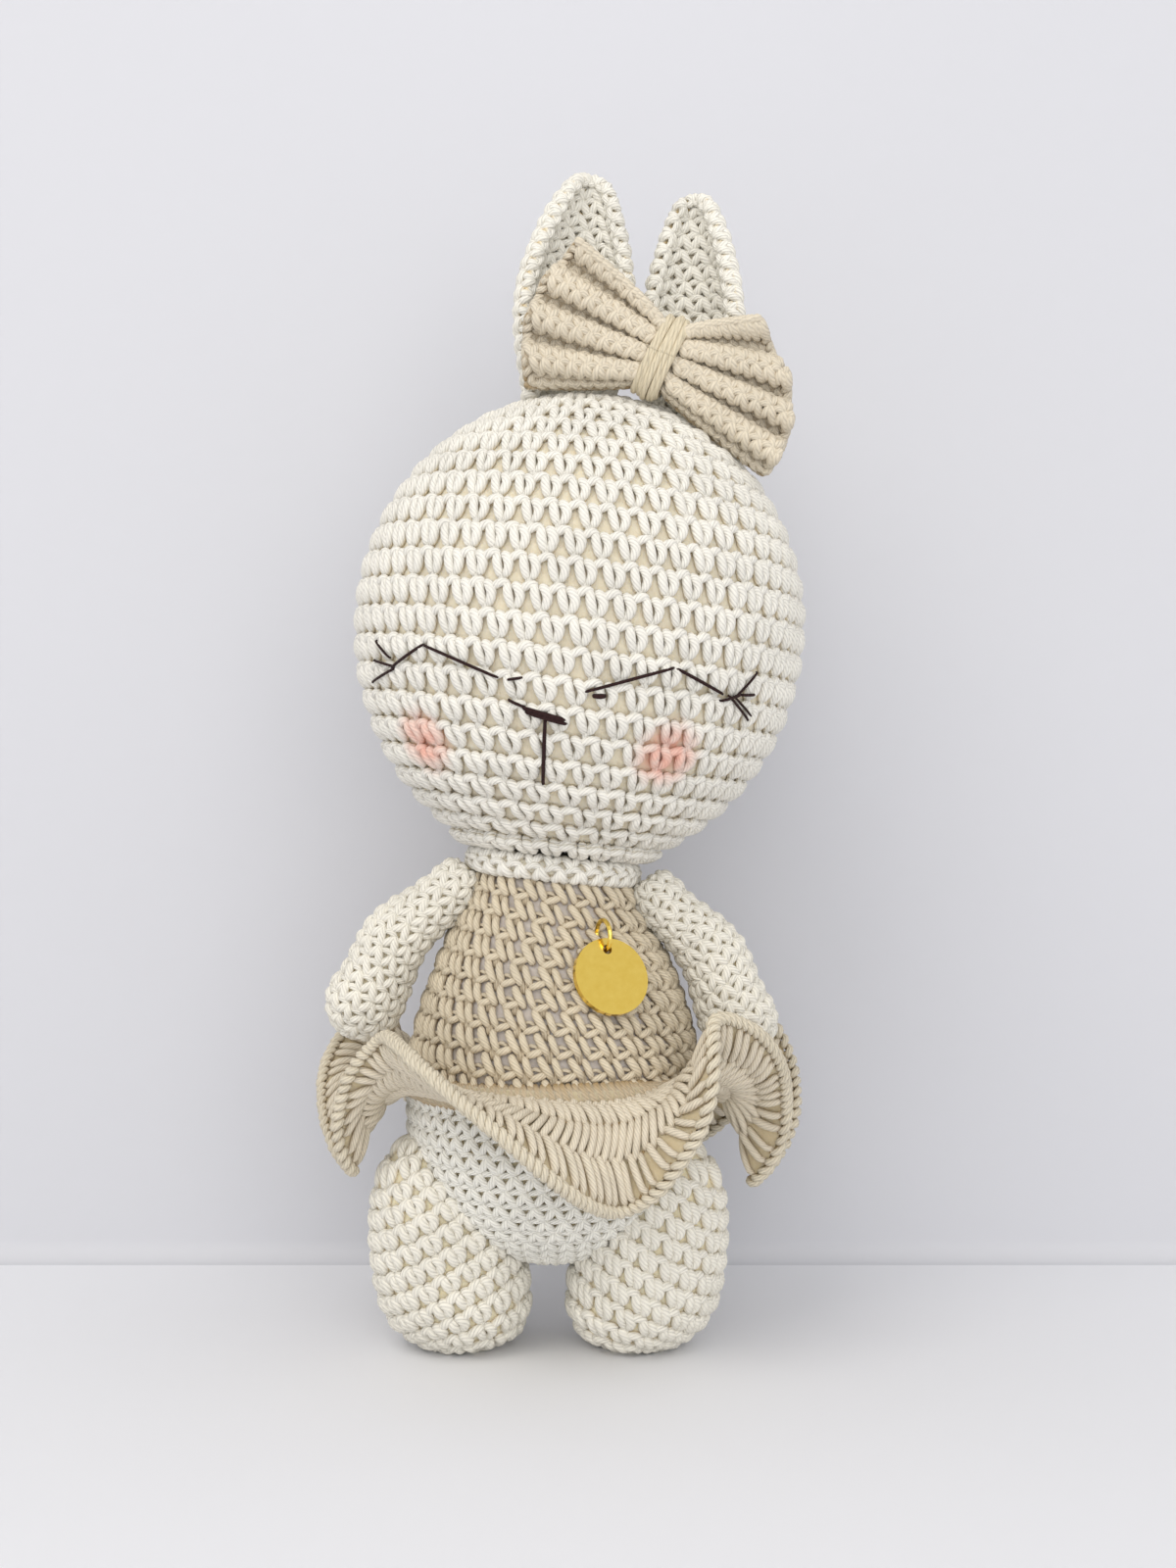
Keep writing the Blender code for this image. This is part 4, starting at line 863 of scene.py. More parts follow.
def edge_skin(middle, tips, normals, radius, closed, place=None, reach=math.radians(115)):
    """The outer side of a round edging, u along it and s across it from its upper to its lower side.

    Reach is how far it goes round either way from the outermost line, which is its middle row.
    """
    turns = np.linspace(reach, -reach, EDGE_LINES)
    points = np.stack([middle + radius * (math.cos(a) * tips + math.sin(a) * normals) for a in turns], axis=1)
    skin = Skin(points, closed, place=place)
    outermost = EDGE_LINES // 2
    outwards = skin.points[:, outermost] - (middle if place is None else placed(middle, place))
    if np.sum(skin.normals[:, outermost] * outwards) < 0:
        skin.normals = -skin.normals
    return skin


def chain_rows(skin, pitch, lines=1):
    """Lines of stitches side by side along an edging."""
    edges = np.linspace(0, skin.length, lines + 1)
    count = max(3, round(skin.girth(skin.length / 2) / pitch))
    return [(top, bottom, count, 0.0) for top, bottom in zip(edges, edges[1:])]


def seeded(offset):
    """A piece's own random numbers, the same on each run."""
    return np.random.default_rng(SEED + offset)


def make_head(looks):
    """Open rounds worked from the crown down over a ball of stuffing, the last round drawn in twice."""
    skin = head_skin()
    random = seeded(1)
    rows = rows_down(skin, 0.0016, skin.length - 0.0005, looks.head_row, looks.head_pitch, drift=-0.47,
                     multiple=6)
    parts = {"head_crown_stitches": rows[:9], "head_upper_stitches": rows[9:13],
             "head_lower_stitches": rows[13:17], "head_chin_stitches": rows[17:]}
    for name, part in parts.items():
        strands = Strands()
        crochet(strands, skin, part, HEAD_STITCH, random, sink=-0.95)
        if name == "head_chin_stitches":
            crochet(strands, skin, part[-1:], HEAD_STITCH, random, sink=-0.25)
        strands.mesh(name, finish("head"), "head", "head_cover")
    stuffing = backing("head_fibre", skin, 0.0012, finish("head_fibre"), "head", random,
                       rough=STUFFING_ROUGHNESS, columns=160, rows=110)
    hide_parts("head_stuffing")
    make_neck_rim(looks, random)


def make_neck_rim(looks, random):
    """The last round of the head, drawn in against the body as a row of plump loops."""
    steps = 96
    angles = -math.pi / 2 + 2 * math.pi * (np.arange(steps) / steps - 0.5)
    tips = np.stack([np.cos(angles), np.sin(angles), np.zeros(steps)], axis=1)
    middle = tips * NECK_SEAM_RADIUS
    middle[:, 2] = -NECK_SEAM_THICKNESS / 2
    ups = np.tile([0.0, 0.0, 1.0], (steps, 1))
    radius = NECK_SEAM_THICKNESS / 2 + NECK_RIM_PLUMPNESS
    skin = edge_skin(middle, tips, ups, radius, True, HEAD_PLACE, math.radians(150))
    strands = Strands()
    crochet(strands, skin, chain_rows(skin, looks.neck_pitch, 2), BUMP_STITCH, random, sink=-0.7)
    backing("neck_rim_backing", skin, 0.0007, finish("head_fibre"), "torso", random, columns=72, rows=12)
    strands.mesh("neck_rim_stitches", finish("head"), "torso", "neck_seam")


# Strokes of the face: thickness in mm, then lines of straight stitches in shares of the head's half width
STROKES = {
    "left_eye": ((0.50, ((-0.755, -0.298), (-0.620, -0.198), (-0.292, -0.305))),
                 (0.45, ((-0.251, -0.309), (-0.197, -0.296))),
                 (0.45, ((-0.740, -0.292), (-0.845, -0.268))), (0.45, ((-0.735, -0.298), (-0.849, -0.361))),
                 (0.40, ((-0.842, -0.187), (-0.763, -0.259)))),
    "right_eye": ((0.52, ((0.059, -0.326), (0.411, -0.185), (0.625, -0.262))),
                  (0.48, ((0.615, -0.290), (0.700, -0.252), (0.762, -0.242))),
                  (0.40, ((0.680, -0.262), (0.762, -0.148))), (0.42, ((0.648, -0.262), (0.752, -0.352))),
                  (0.38, ((0.670, -0.262), (0.762, -0.332))), (0.80, ((0.099, -0.337), (0.142, -0.332)))),
    "nose": ((0.75, ((-0.177, -0.414), (-0.004, -0.444))), (0.75, ((-0.165, -0.428), (0.000, -0.458))),
             (0.50, ((-0.240, -0.388), (-0.172, -0.410)))),
    "mouth": ((0.60, ((-0.086, -0.430), (-0.068, -0.712))), (0.45, ((-0.070, -0.600), (-0.078, -0.632)))),
}


def make_face(looks):
    """Embroidered long stitches that dive into the head at both ends."""
    for name, strokes in STROKES.items():
        strands = Strands()
        for millimetres, points in strokes:
            for start, end in zip(points, points[1:]):
                share = np.linspace(0, 1, 25)
                across, up = (start[i] + (end[i] - start[i]) * share for i in (0, 1))
                lift = looks.thread_lift * np.sin(np.pi * share) ** 0.25 - 0.0001
                paths, normals = on_head(across, up, lift)
                radii = np.full((1, len(share)), millimetres * MM / 2) * plump(len(share), 0.75)
                strands.add(paths[None], normals[None], radii, np.zeros((1, len(share))))
        strands.mesh(name + "_stitches", finish("thread"), "head", name + "_thread")


def make_ears(looks):
    """Both faces of each cupped flap, and the border round its edge."""
    random = seeded(2)
    for side, (base_x, height, half_width, turn, lean) in EARS.items():
        grid, offset, place = ear_grid(base_x, height, half_width, turn, lean)
        body = side + "_ear"
        front = Skin(grid - offset, place=place)
        back = Skin((grid + offset)[::-1], place=place)
        pieces = []
        for face, skin in (("front", front), ("back", back)):
            strands = Strands()
            rows = rows_down(skin, 0.0014, skin.length, looks.ear_row, looks.ear_pitch, least=1)
            crochet(strands, skin, rows, BUMP_STITCH, random, sink=-0.6, thickness=1.02)
            stitches = strands.mesh(f"{side}_ear_{face}_stitches", finish("ear"), body, body)
            pieces += [backing(f"{side}_ear_{face}_backing", skin, 0.0008, finish("head_fibre"), body, random,
                               columns=30, rows=40), stitches]
        outline = np.concatenate([grid[0, ::-1], grid[1:-1, 0], grid[-1]])
        pieces.append(make_border(f"{side}_ear_border_stitches", outline, grid.mean(axis=(0, 1)), place,
                                  body, finish("ear"), random, BUMP_STITCH, looks.ear_border_pitch))


def softened(line):
    """The line in even steps, with its sharp turns rounded."""
    length = np.concatenate([[0.0], np.cumsum(np.linalg.norm(np.diff(line, axis=0), axis=1))])
    wanted = np.linspace(0, length[-1], round(length[-1] / SOFTENING_STEP))
    even = np.stack([np.interp(wanted, length, line[:, i]) for i in range(3)], axis=1)
    padded = np.concatenate([np.repeat(even[:1], SOFTENING_REACH, axis=0), even,
                             np.repeat(even[-1:], SOFTENING_REACH, axis=0)])
    kernel = np.full(2 * SOFTENING_REACH + 1, 1 / (2 * SOFTENING_REACH + 1))
    return np.stack([np.convolve(padded[:, i], kernel, mode="valid") for i in range(3)], axis=1)


def make_border(name, outline, inside, place, body, material, random, stitch, pitch):
    """Stitches laid round an open edge, just inside its outline."""
    outline = softened(outline)
    outline = outline - unit(outline - inside) * BORDER_RADIUS * 0.8
    along = unit(np.gradient(outline, axis=0))
    away = outline - inside
    tips = unit(away - along * np.sum(away * along, axis=1, keepdims=True))
    normals = np.cross(along, tips)
    skin = edge_skin(outline, tips, normals, BORDER_RADIUS, False, place)
    strands = Strands()
    crochet(strands, skin, chain_rows(skin, pitch), stitch, random, sink=-0.45, thickness=0.9)
    return strands.mesh(name, material, body)


def make_bow(looks):
    """Ridges and valleys of stitches along each pleated loop, on both faces."""
    random = seeded(3)
    place = HEAD_PLACE @ Matrix.Translation(BOW_CENTRE) @ Matrix.Rotation(BOW_TILT, 4, "Y")
    for side, (sign, length, half_height, end_shares) in BOW_LOOPS.items():
        grid, offset = bow_grid(sign, length, half_height, end_shares)
        front = Skin(grid - offset, even=True, place=place)
        back = Skin((grid + offset)[::-1], even=True, place=place)
        pieces = []
        for face, skin in (("front", front), ("back", back)):
            strands = Strands()
            count = round(length / looks.bow_pitch)
            for ridge in BOW_RIDGES:
                crest = (1 - ridge) / 2
                ridge_rows = [(crest - BOW_RIDGE_SHARE, crest, count, 0.0),
                              (crest, crest + BOW_RIDGE_SHARE, count, 0.5)]
                valley_rows = [(*(crest + share for share in BOW_VALLEY_SHARES), count, 0.2)]
                crochet(strands, skin, ridge_rows, BUMP_STITCH, random, sink=-0.35, thickness=1.05,
                        mirror=sign < 0)
                crochet(strands, skin, valley_rows, BUMP_STITCH, random, sink=-1.1, thickness=0.8,
                        mirror=sign < 0)
            stitches = strands.mesh(f"bow_{side}_{face}_stitches", finish("bow"), "head", f"bow_{side}_loop")
            # The backing has no lift attribute or yarn map, so it takes the bow yarn's painted shade part
            # way, all over
            pieces += [backing(f"bow_{side}_{face}_backing", skin, 0.0006, finish("bow"), "head", random,
                               columns=30, rows=60), stitches]
        outwards = grid if sign > 0 else grid[::-1]
        outline = np.concatenate([outwards[:-1, 0], outwards[-1], outwards[:-1, -1][::-1]])
        pieces.append(make_border(f"bow_{side}_edge_stitches", outline, grid.mean(axis=(0, 1)), place,
                                  "head", finish("bow"), random, ROPE_STITCH, looks.bow_border_pitch))
    make_wrap(place)


def make_wrap(place):
    """Yarn wound round the middle of the bow, turn beside turn, none quite straight."""
    strands = Strands()
    random = seeded(8)
    steps = 97
    angle = 2 * math.pi * np.arange(steps) / (steps - 1)
    turn = np.array(place.to_3x3())
    for x in np.linspace(-WRAP_HALF_WIDTH, WRAP_HALF_WIDTH, WRAP_TURNS):
        wander = 0.00025 * np.sin(angle + random.uniform(0, 6)) + 0.0005 * np.sin(angle)
        swell = 1 + random.uniform(-0.03, 0.03) - 0.06 * abs(x) / WRAP_HALF_WIDTH
        points = np.stack([x + wander, -WRAP_HALF_DEPTH * swell * np.cos(angle),
                           WRAP_HALF_HEIGHT * swell * np.sin(angle)], axis=1)
        normals = np.stack([np.zeros(steps), -np.cos(angle), np.sin(angle)], axis=1)
        strands.add(placed(points, place)[None], (normals @ turn.T)[None],
                    np.full((1, steps), WRAP_YARN_RADIUS), np.full((1, steps), 0.2), 10)
    strands.mesh("bow_wound_yarn", finish("wrap"), "head", "bow_wrap")


def fading(skin, s, first, last):
    """1 along the skin, falling to 0 over these lengths at its two ends."""
    return np.clip(s / first, 0, 1) * np.clip((skin.length - s) / last, 0, 1)


def make_body(looks):
    """The leotard's slanting stitches over stuffing, and the closer rounds of the pants below them."""
    random = seeded(4)
    skin = body_skin()
    rows = rows_down(skin, 0.0, skin.length, looks.body_row, looks.body_pitch, drift=-0.36)

    def spiral(u, s):
        across = np.sin(2 * math.pi * (u - 0.5))
        return looks.body_slope * HIP_RADIUS * across * fading(skin, s, 0.008, 0.010)

    split = len(rows) // 2
    for part, rounds in (("upper", rows[:split]), ("lower", rows[split:])):
        strands = Strands()
        crochet(strands, skin, rounds, BODY_STITCH, random, sink=-0.9, shift=spiral)
        strands.mesh(f"leotard_{part}_stitches", finish("leotard"), "torso", "leotard_cover")
    stuffing = backing("body_fibre", skin, 0.0013, finish("body_fibre"), "torso", random,
                       rough=STUFFING_ROUGHNESS, columns=120, rows=60)
    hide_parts("body_stuffing")
    skin = pants_skin()
    rows = rows_down(skin, 0.0005, skin.length - 0.001, looks.pants_row, looks.pants_pitch, drift=-0.47)
    strands = Strands()
    crochet(strands, skin, rows, BUMP_STITCH, random, sink=-0.8, thickness=0.88, keep=clear_of_legs)
    strands.mesh("pants_stitches", finish("pants"), "torso", "pants_cover")
    backing("pants_fibre", skin, 0.0010, finish("limb_fibre"), "torso", random)


def clear_of_legs(points):
    """True for points of the pants that no leg hides."""
    hidden = np.zeros(len(points), bool)
    inside = points - np.array(DOLL_PLACE.translation)
    for side in (-1, 1):
        x, y = leg_axis(side, inside[:, 2] / LEG_LENGTH)
        away = np.hypot(inside[:, 0] - x, inside[:, 1] - y)
        hidden |= (away < LEG_RADIUS * 0.6) & (inside[:, 2] < LEG_LENGTH * 0.8)
    return ~hidden


def out_of_body(margin):
    """A test for points that stand clear of the body's surface."""
    def keep(points):
        inside = points - np.array(DOLL_PLACE.translation)
        radii = np.array([body_radius(z) if z < BODY_TOP_HEIGHT else 0.0 for z in inside[:, 2]])
        return np.hypot(inside[:, 0], inside[:, 1]) > radii + margin
    return keep


def make_legs(looks):
    """Rounds that climb across the front of each leg, over stuffing."""
    random = seeded(5)
    for side, sign in (("left", -1), ("right", 1)):
        skin = leg_skin(sign)

        def tilted(u, s, sign=sign, skin=skin):
            across = np.sin(2 * math.pi * (u - 0.5))
            return sign * looks.leg_slope * LEG_RADIUS * across * fading(skin, s, 0.008, 0.016)

        rows = rows_down(skin, 0.002, skin.length - 0.001, looks.leg_row, looks.leg_pitch, drift=0.5)
        strands = Strands()
        crochet(strands, skin, rows, HEAD_STITCH, random, sink=-1.0, thickness=1.12, shift=tilted,
                keep=out_of_body(-0.0004))
        strands.mesh(side + "_leg_stitches", finish("limbs"), side + "_leg", side + "_leg_cover")
        stuffing = backing(side + "_leg_fibre", skin, 0.0010, finish("limb_fibre"), side + "_leg", random)
        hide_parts(side + "_leg_stuffing")


def make_arms(looks):
    """Plump close rounds down each arm, over stuffing."""
    random = seeded(6)
    for side, (sign, shoulder, length, spread) in ARMS.items():
        skin = arm_skin(sign, shoulder, length, spread)
        rows = rows_down(skin, 0.003, skin.length - 0.0006, looks.arm_row, looks.arm_pitch, drift=0.5)
        strands = Strands()
        crochet(strands, skin, rows, BUMP_STITCH, random, sink=-0.95, thickness=0.95,
                keep=out_of_body(-0.0002))
        strands.mesh(side + "_arm_stitches", finish("limbs"), side + "_arm", side + "_arm_cover")
        stuffing = backing(side + "_arm_fibre", skin, 0.0010, finish("limb_fibre"), side + "_arm", random,
                           columns=48, rows=48)
        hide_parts(side + "_arm_stuffing")


def make_flounce(looks):
    """Two rows of posts on both sides of the waved sheet, and the rope of its edging."""
    random = seeded(7)
    grid, normal, tip = flounce_grid()
    middle = grid[:, -1] + tip * (GAP + EDGING_THICKNESS / 2)
    # The posts start in the leotard and end under the edging, so no light shows past either end
    root = grid[:, 0] - unit(grid[:, 1] - grid[:, 0]) * FLOUNCE_ROOT_DEPTH
    rim = middle - tip * FLOUNCE_RIM_GAP
    grid = np.concatenate([root[:, None], grid, rim[:, None]], axis=1)
    normal = np.concatenate([normal[:, :1], normal, normal[:, -1:]], axis=1)
    half = normal * FLOUNCE_WALL / 2
    upper = Skin(grid + half, closed=True, place=DOLL_PLACE)
    lower = Skin((grid - half)[::-1], closed=True, place=DOLL_PLACE)
    pieces = []
    for face, skin in (("upper", upper), ("lower", lower)):
        if np.sum(skin.normals[:, 5] * (normal[:, 5] if face == "upper" else -normal[::-1, 5])) < 0:
            skin.normals = -skin.normals
        strands = Strands()
        count = round(skin.girth(skin.length * 0.8) / looks.post_pitch)
        split = skin.length * FLOUNCE_ROW_SHARE
        rows = [(0.0002, split, count, 0.0), (split, skin.length - 0.0002, count, 0.5)]
        crochet(strands, skin, rows, POST_STITCH, random, sink=-0.7)
        stitches = strands.mesh(f"flounce_{face}_stitches", finish("flounce"), "torso", "flounce")
        # The sheet between the posts is darker than the yarn: partly the yarn's real fuzz, partly painted
        # shade in the gaps
        pieces += [backing(f"flounce_{face}_backing", skin, 0.0008, finish("flounce_fuzz"), "torso", random,
                           columns=720, rows=15), stitches]
    skin = edge_skin(middle, tip, normal[:, -1], EDGING_THICKNESS / 2 + 0.0001, True, DOLL_PLACE)
    strands = Strands()
    crochet(strands, skin, chain_rows(skin, looks.chain_pitch), ROPE_STITCH, random, sink=-0.45)
    pieces.append(strands.mesh("flounce_edging_stitches", finish("edging"), "torso", "flounce_edging"))


def make_charm(looks):
    """The disc and ring keep their CAD shapes and take the gold; the disc's edges are softened."""
    for name in ("gold_disc", "jump_ring"):
        node = frame["nodes"][name]
        node.data.materials.clear()
        node.data.materials.append(finish("gold"))
    bevel = frame["nodes"]["gold_disc"].modifiers.new("rolled_edge", "BEVEL")
    bevel.width = 0.00015
    bevel.segments = 3
    bevel.limit_method = "ANGLE"


ROOM_COLOUR = "#f8f7f6"
WALL_REACH = 1.4
COVE_RADIUS = 0.004
DOLL_MIDDLE = (0, 0, 0.09)
KEY_SOFTBOX = ((-0.35, -0.55, 0.75), 0.5, "#fffaf2")
FILL_SOFTBOX = ((0.15, -0.95, 0.30), 0.8, "#fdfbf8")
CAMERA_SPOT = (0.0055, -0.300, 0.090)
CAMERA_LENS_MM = 42.75
CAMERA_SENSOR_MM = 36.0


def make_stage(looks):
    """A pale floor that turns up into a pale wall, soft light from above and the camera."""
    back, cove = looks.wall_distance, COVE_RADIUS
    profile = [(-WALL_REACH, 0.0), (back - cove, 0.0)]
    profile += [(back - cove + cove * math.sin(a), cove - cove * math.cos(a))
                for a in np.linspace(0, math.pi / 2, 9)[1:]]
    profile.append((back, WALL_REACH))
    for name, part in (("studio_floor", profile[:2]), ("studio_wall", profile[1:])):
        points = [(x, y, z) for y, z in part for x in (-WALL_REACH, WALL_REACH)]
        faces = [(2 * i, 2 * i + 1, 2 * i + 3, 2 * i + 2) for i in range(len(part) - 1)]
        mesh = bpy.data.meshes.new(name)
        mesh.from_pydata(points, [], faces)
        mesh.shade_smooth()
        mesh.materials.append(finish("floor" if name == "studio_floor" else "wall"))
        made = bpy.data.objects.new(name, mesh)
        bpy.context.scene.collection.objects.link(made)
    world = bpy.data.worlds.new("pale_room")
    world.use_nodes = True
    world.node_tree.nodes["Background"].inputs["Color"].default_value = linear(ROOM_COLOUR)
    world.node_tree.nodes["Background"].inputs["Strength"].default_value = looks.room_light
    bpy.context.scene.world = world
    lights = (("key_softbox", KEY_SOFTBOX, looks.key_light), ("fill_softbox", FILL_SOFTBOX, looks.fill_light))
    for name, (spot, width, colour), power in lights:
        data = bpy.data.lights.new(name, "AREA")
        data.size, data.energy, data.color = width, power, linear(colour)[:3]
        lamp = bpy.data.objects.new(name, data)
        lamp.location = spot
        lamp.rotation_euler = (Vector(DOLL_MIDDLE) - Vector(spot)).to_track_quat("-Z", "Y").to_euler()
        bpy.context.scene.collection.objects.link(lamp)
    data = bpy.data.cameras.new("camera")
    data.lens, data.sensor_width = CAMERA_LENS_MM, CAMERA_SENSOR_MM
    camera = bpy.data.objects.new("camera", data)
    camera.location = DOLL_PLACE @ Vector(CAMERA_SPOT)
    camera.rotation_euler = (math.pi / 2, 0, 0)
    bpy.context.scene.collection.objects.link(camera)
    bpy.context.scene.camera = camera
    bpy.context.scene.view_settings.view_transform = "Standard"


def length_property(name, text, default):
    """A setting in metres."""
    return bpy.props.FloatProperty(name=name, description=text, default=default, min=0.0, unit="LENGTH",
                                   precision=5)


def colour_property(name, text, hex_colour):
    """A colour setting from an sRGB hex value."""
    return bpy.props.FloatVectorProperty(name=name, description=text, default=linear(hex_colour), size=4,
                                         min=0.0, max=1.0, subtype="COLOR")


class DollLooks(bpy.types.PropertyGroup):
    """Gauge and studio settings of the doll's looks."""

    head_pitch: length_property("Head stitch", "Width of one stitch of the head", 0.00417)
    head_row: length_property("Head row", "Height of one round of the head", 0.0044)
    neck_pitch: length_property("Neck loop", "Width of one loop of the neck's rim", 0.0033)
    thread_lift: length_property("Thread height", "How far the face threads stand off the head", 0.0004)
    ear_pitch: length_property("Ear stitch", "Width of one stitch of the ears", 0.0030)
    ear_row: length_property("Ear row", "Height of one row of the ears", 0.0026)
    ear_border_pitch: length_property("Ear border", "Length of one stitch round the ears", 0.0027)
    bow_pitch: length_property("Bow stitch", "Length of one stitch along the bow", 0.0024)
    bow_border_pitch: length_property("Bow border", "Length of one stitch round the bow", 0.0017)
    body_pitch: length_property("Leotard stitch", "Width of one stitch of the leotard", 0.0047)
    body_row: length_property("Leotard row", "Height of one round of the leotard", 0.0035)
    body_slope: bpy.props.FloatProperty(name="Leotard row slope", default=0.06,
                                        description="How far the leotard's rounds fall across its front")
    pants_pitch: length_property("Pants stitch", "Width of one stitch of the pants", 0.0029)
    pants_row: length_property("Pants row", "Height of one round of the pants", 0.0027)
    leg_pitch: length_property("Leg stitch", "Width of one stitch of the legs", 0.0037)
    leg_row: length_property("Leg row", "Height of one round of the legs", 0.0036)
    leg_slope: bpy.props.FloatProperty(name="Leg row slope", default=0.5,
                                       description="How far the legs' rounds climb across their fronts")
    arm_pitch: length_property("Arm stitch", "Width of one stitch of the arms", 0.0030)
    arm_row: length_property("Arm row", "Height of one round of the arms", 0.0027)
    post_pitch: length_property("Flounce post", "Width of one post of the flounce", 0.0037)
    chain_pitch: length_property("Edging chain", "Length of one chain of the edging", 0.0016)
    wall_distance: length_property("Wall distance", "How far the wall stands behind the doll", 0.052)
    room_light: bpy.props.FloatProperty(name="Room light", description="Strength of the pale room's light",
                                        default=0.81, min=0.0)
    key_light: bpy.props.FloatProperty(name="Key light", description="Power of the softbox at the upper left",
                                       default=2.2, min=0.0, unit="POWER")
    fill_light: bpy.props.FloatProperty(name="Fill light", description="Power of the softbox in front",
                                        default=3.8, min=0.0, unit="POWER")


class DollColours(bpy.types.PropertyGroup):
    """Each finish's colour, and its second one: painted shade between the stitches for yarns, darker patches
    for the rest.
    """

    # The yarns' second colours are painted shade, deepest where the strands dive between their neighbours
    head: colour_property("Head yarn", "Stitches of the head and the neck's rim", "#fcf9f0")
    head_painted_shade_and_patches: colour_property("Head yarn, deep", "Head yarn between the stitches", "#e3cf9f")
    limbs: colour_property("Limb yarn", "Stitches of the arms and legs", "#fcf8ec")
    limbs_painted_shade_and_patches: colour_property("Limb yarn, deep", "Limb yarn between the stitches", "#e2c98f")
    pants: colour_property("Pants yarn", "Stitches of the pants", "#fffdf4")
    pants_painted_shade_and_patches: colour_property("Pants yarn, deep", "Pants yarn between the stitches", "#efdcaa")
    leotard: colour_property("Leotard yarn", "Stitches of the leotard", "#e7dac1")
    leotard_painted_shade_and_patches: colour_property("Leotard yarn, deep", "Leotard yarn between the stitches", "#ad8b5a")
    flounce: colour_property("Flounce yarn", "Posts of the flounce", "#ece1cc")
    flounce_painted_shade_and_patches: colour_property("Flounce yarn, deep", "Flounce yarn between the posts", "#b59a70")
    bow: colour_property("Bow yarn", "Ridges of the bow", "#eadfca")
    bow_painted_shade_and_patches: colour_property("Bow yarn, deep", "Bow yarn in the valleys", "#b39970")
    edging: colour_property("Edging yarn", "Chain on the rim of the flounce", "#e8dec8")
    edging_painted_shade_and_patches: colour_property("Edging yarn, deep", "Edging yarn between the chains", "#c4a97a")
    wrap: colour_property("Wound yarn", "Yarn wound round the bow", "#e2d6bb")
    wrap_painted_shade_and_patches: colour_property("Wound yarn, deep", "Wound yarn between its turns", "#b39a6c")
    # Painted light: the ear yarn is set lighter than the head yarn, against the shade in the ears' cups
    ear: colour_property("Ear yarn", "Stitches of the ears", "#fffcf2")
    ear_painted_shade_and_patches: colour_property("Ear yarn, deep", "Ear yarn between the stitches", "#ecd196")
    thread: colour_property("Face thread", "Embroidery of the eyes, nose and mouth", "#3a2526")
    thread_painted_shade_and_patches: colour_property("Face thread, deep", "Face thread where it dives in", "#1a0f10")
    # Flounce fuzz: partly the yarn's real fuzz, partly painted shade between the posts
    flounce_fuzz: colour_property("Flounce fuzz", "Fuzz between the posts", "#ddcfb1")
    flounce_fuzz_painted_shade_and_patches: colour_property("Flounce fuzz, deep", "Darker clumps of that fuzz", "#c4b18b")
    head_fibre: colour_property("Head stuffing", "Stuffing seen between the stitches", "#f4ebd6")
    head_fibre_painted_shade_and_patches: colour_property("Head stuffing, deep", "Darker clumps of that stuffing", "#e6d8bb")
    body_fibre: colour_property("Body stuffing", "Stuffing seen through the leotard", "#e0d8d0")
    body_fibre_painted_shade_and_patches: colour_property("Body stuffing, deep", "Darker clumps of that stuffing", "#c6bbb0")
    limb_fibre: colour_property("Limb stuffing", "Stuffing of the arms, legs and pants", "#fbeecf")
    limb_fibre_painted_shade_and_patches: colour_property("Limb stuffing, deep", "Darker clumps of that stuffing", "#f3dfb4")
    blush: colour_property("Blush", "Pastel rubbed into the cheeks", "#f0a68f")
    gold: colour_property("Gold", "Plating of the disc and the ring", "#f9db74")
    gold_painted_shade_and_patches: colour_property("Gold, deep", "Darker patches of that plating", "#efca5a")
    floor: colour_property("Floor", "Board that the doll stands on", "#e9eaee")
    floor_painted_shade_and_patches: colour_property("Floor patches", "Patches of that board", "#e9eaee")
    wall: colour_property("Wall", "Board behind the doll", "#d1d2d8")
    wall_painted_shade_and_patches: colour_property("Wall patches", "Patches of that board", "#cecfd4")


class DollStep:
    """One step of building the doll's looks."""

    bl_options = {"REGISTER", "UNDO"}

    def execute(self, context):
        type(self).build(context.scene.doll_looks)
        return {"FINISHED"}


class DOLL_OT_head(DollStep, bpy.types.Operator):
    """Work the head's rounds and its stuffing"""

    bl_idname = "doll.head"
    bl_label = "Head Stitches"
    build = staticmethod(make_head)


class DOLL_OT_face(DollStep, bpy.types.Operator):
    """Embroider the eyes, nose and mouth"""

    bl_idname = "doll.face"
    bl_label = "Face Embroidery"
    build = staticmethod(make_face)


class DOLL_OT_ears(DollStep, bpy.types.Operator):
    """Work both faces and the border of each ear"""

    bl_idname = "doll.ears"
    bl_label = "Ears"
    build = staticmethod(make_ears)


class DOLL_OT_bow(DollStep, bpy.types.Operator):
    """Work the pleated bow and wind the yarn round its middle"""

    bl_idname = "doll.bow"
    bl_label = "Bow"
    build = staticmethod(make_bow)


class DOLL_OT_body(DollStep, bpy.types.Operator):
    """Work the leotard and the pants"""

    bl_idname = "doll.body"
    bl_label = "Leotard and Pants"
    build = staticmethod(make_body)


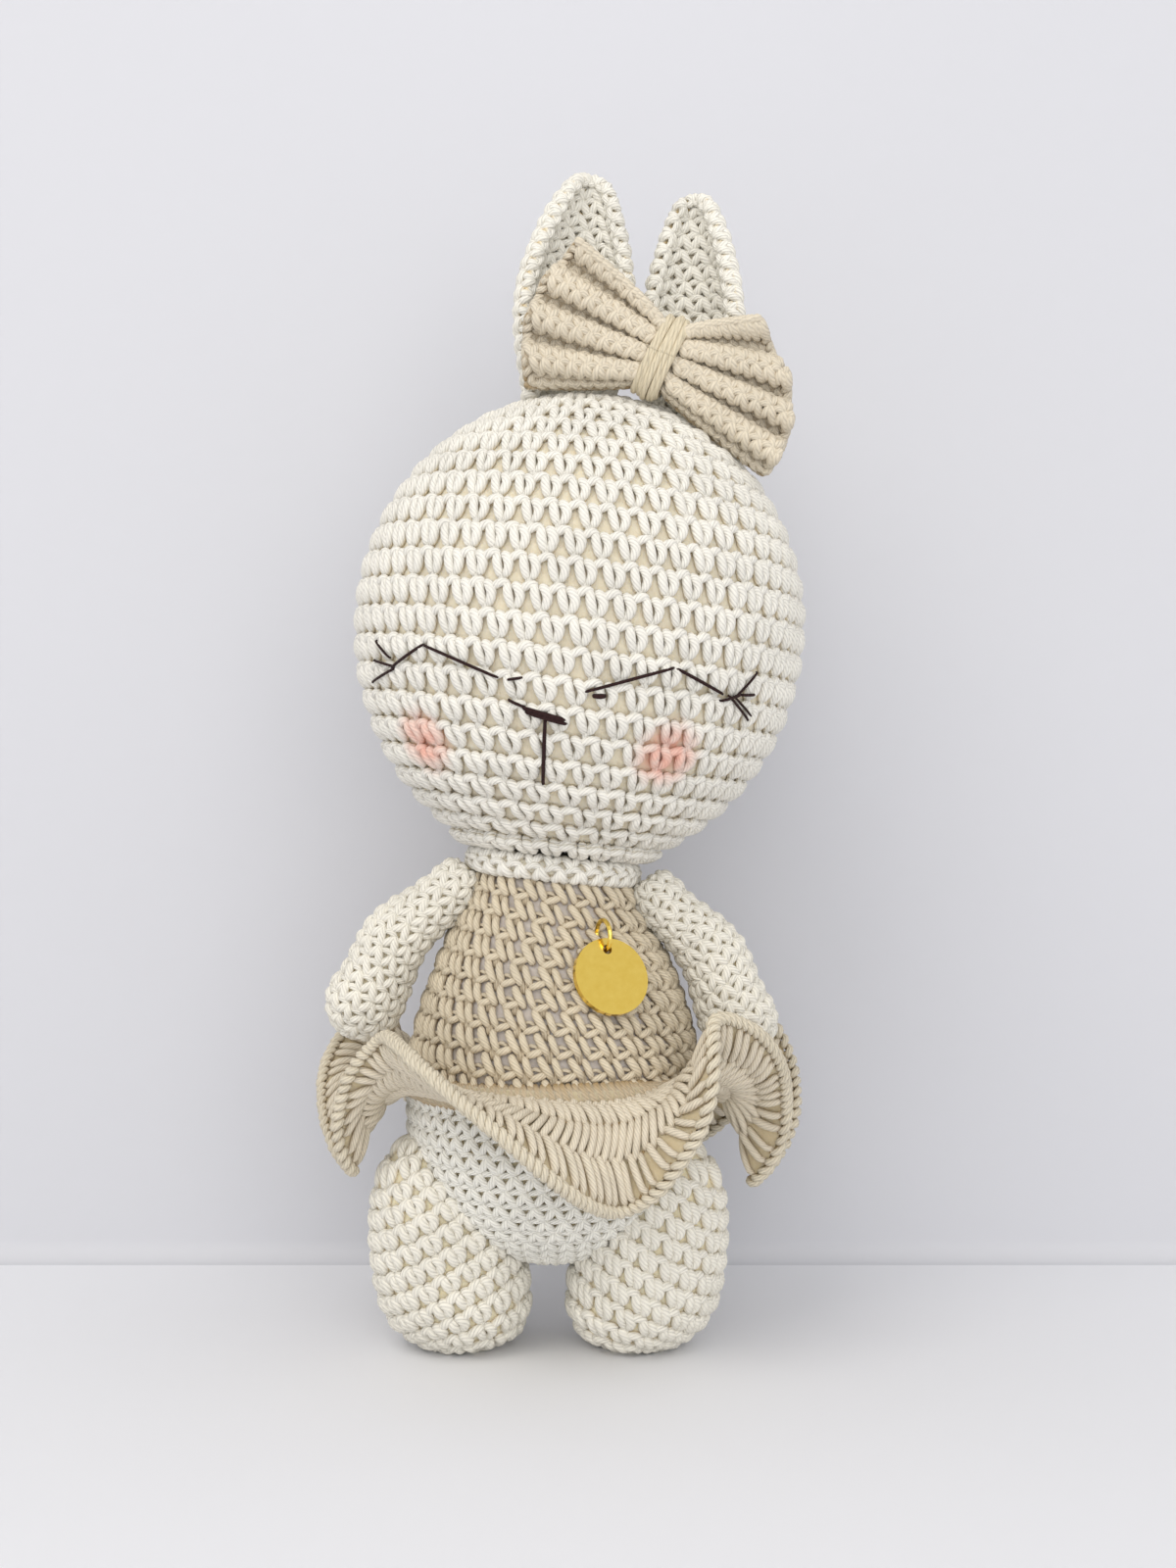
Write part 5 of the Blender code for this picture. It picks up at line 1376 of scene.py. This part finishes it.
class DOLL_OT_legs(DollStep, bpy.types.Operator):
    """Work both legs"""

    bl_idname = "doll.legs"
    bl_label = "Legs"
    build = staticmethod(make_legs)


class DOLL_OT_arms(DollStep, bpy.types.Operator):
    """Work both arms"""

    bl_idname = "doll.arms"
    bl_label = "Arms"
    build = staticmethod(make_arms)


class DOLL_OT_flounce(DollStep, bpy.types.Operator):
    """Work the waved flounce and its chain edging"""

    bl_idname = "doll.flounce"
    bl_label = "Flounce"
    build = staticmethod(make_flounce)


class DOLL_OT_charm(DollStep, bpy.types.Operator):
    """Polish the disc and its jump ring"""

    bl_idname = "doll.charm"
    bl_label = "Disc Charm"
    build = staticmethod(make_charm)


class DOLL_OT_stage(DollStep, bpy.types.Operator):
    """Set up the floor, wall, lights and camera"""

    bl_idname = "doll.stage"
    bl_label = "Studio"
    build = staticmethod(make_stage)


STEPS = (DOLL_OT_head, DOLL_OT_face, DOLL_OT_ears, DOLL_OT_bow, DOLL_OT_body, DOLL_OT_legs, DOLL_OT_arms,
         DOLL_OT_flounce, DOLL_OT_charm, DOLL_OT_stage)


GROUPS = {"doll_looks": DollLooks, "doll_colours": DollColours}


class DOLL_PT_looks(bpy.types.Panel):
    """The doll's settings and steps in the 3D view's sidebar."""

    bl_label = "Crocheted Doll"
    bl_idname = "DOLL_PT_looks"
    bl_space_type = "VIEW_3D"
    bl_region_type = "UI"
    bl_category = "Doll"

    def draw(self, context):
        for group, kind in GROUPS.items():
            for key in kind.__annotations__:
                self.layout.prop(getattr(context.scene, group), key)
        for step in STEPS:
            self.layout.operator(step.bl_idname)


def register():
    for kind in (*GROUPS.values(), *STEPS, DOLL_PT_looks):
        bpy.utils.register_class(kind)
    for group, kind in GROUPS.items():
        setattr(bpy.types.Scene, group, bpy.props.PointerProperty(type=kind))


def unregister():
    for group in GROUPS:
        delattr(bpy.types.Scene, group)
    for kind in reversed((*GROUPS.values(), *STEPS, DOLL_PT_looks)):
        bpy.utils.unregister_class(kind)


def main():
    register()
    for step in STEPS:
        group, action = step.bl_idname.split(".")
        getattr(getattr(bpy.ops, group), action)()


if __name__ == "__main__":
    main()
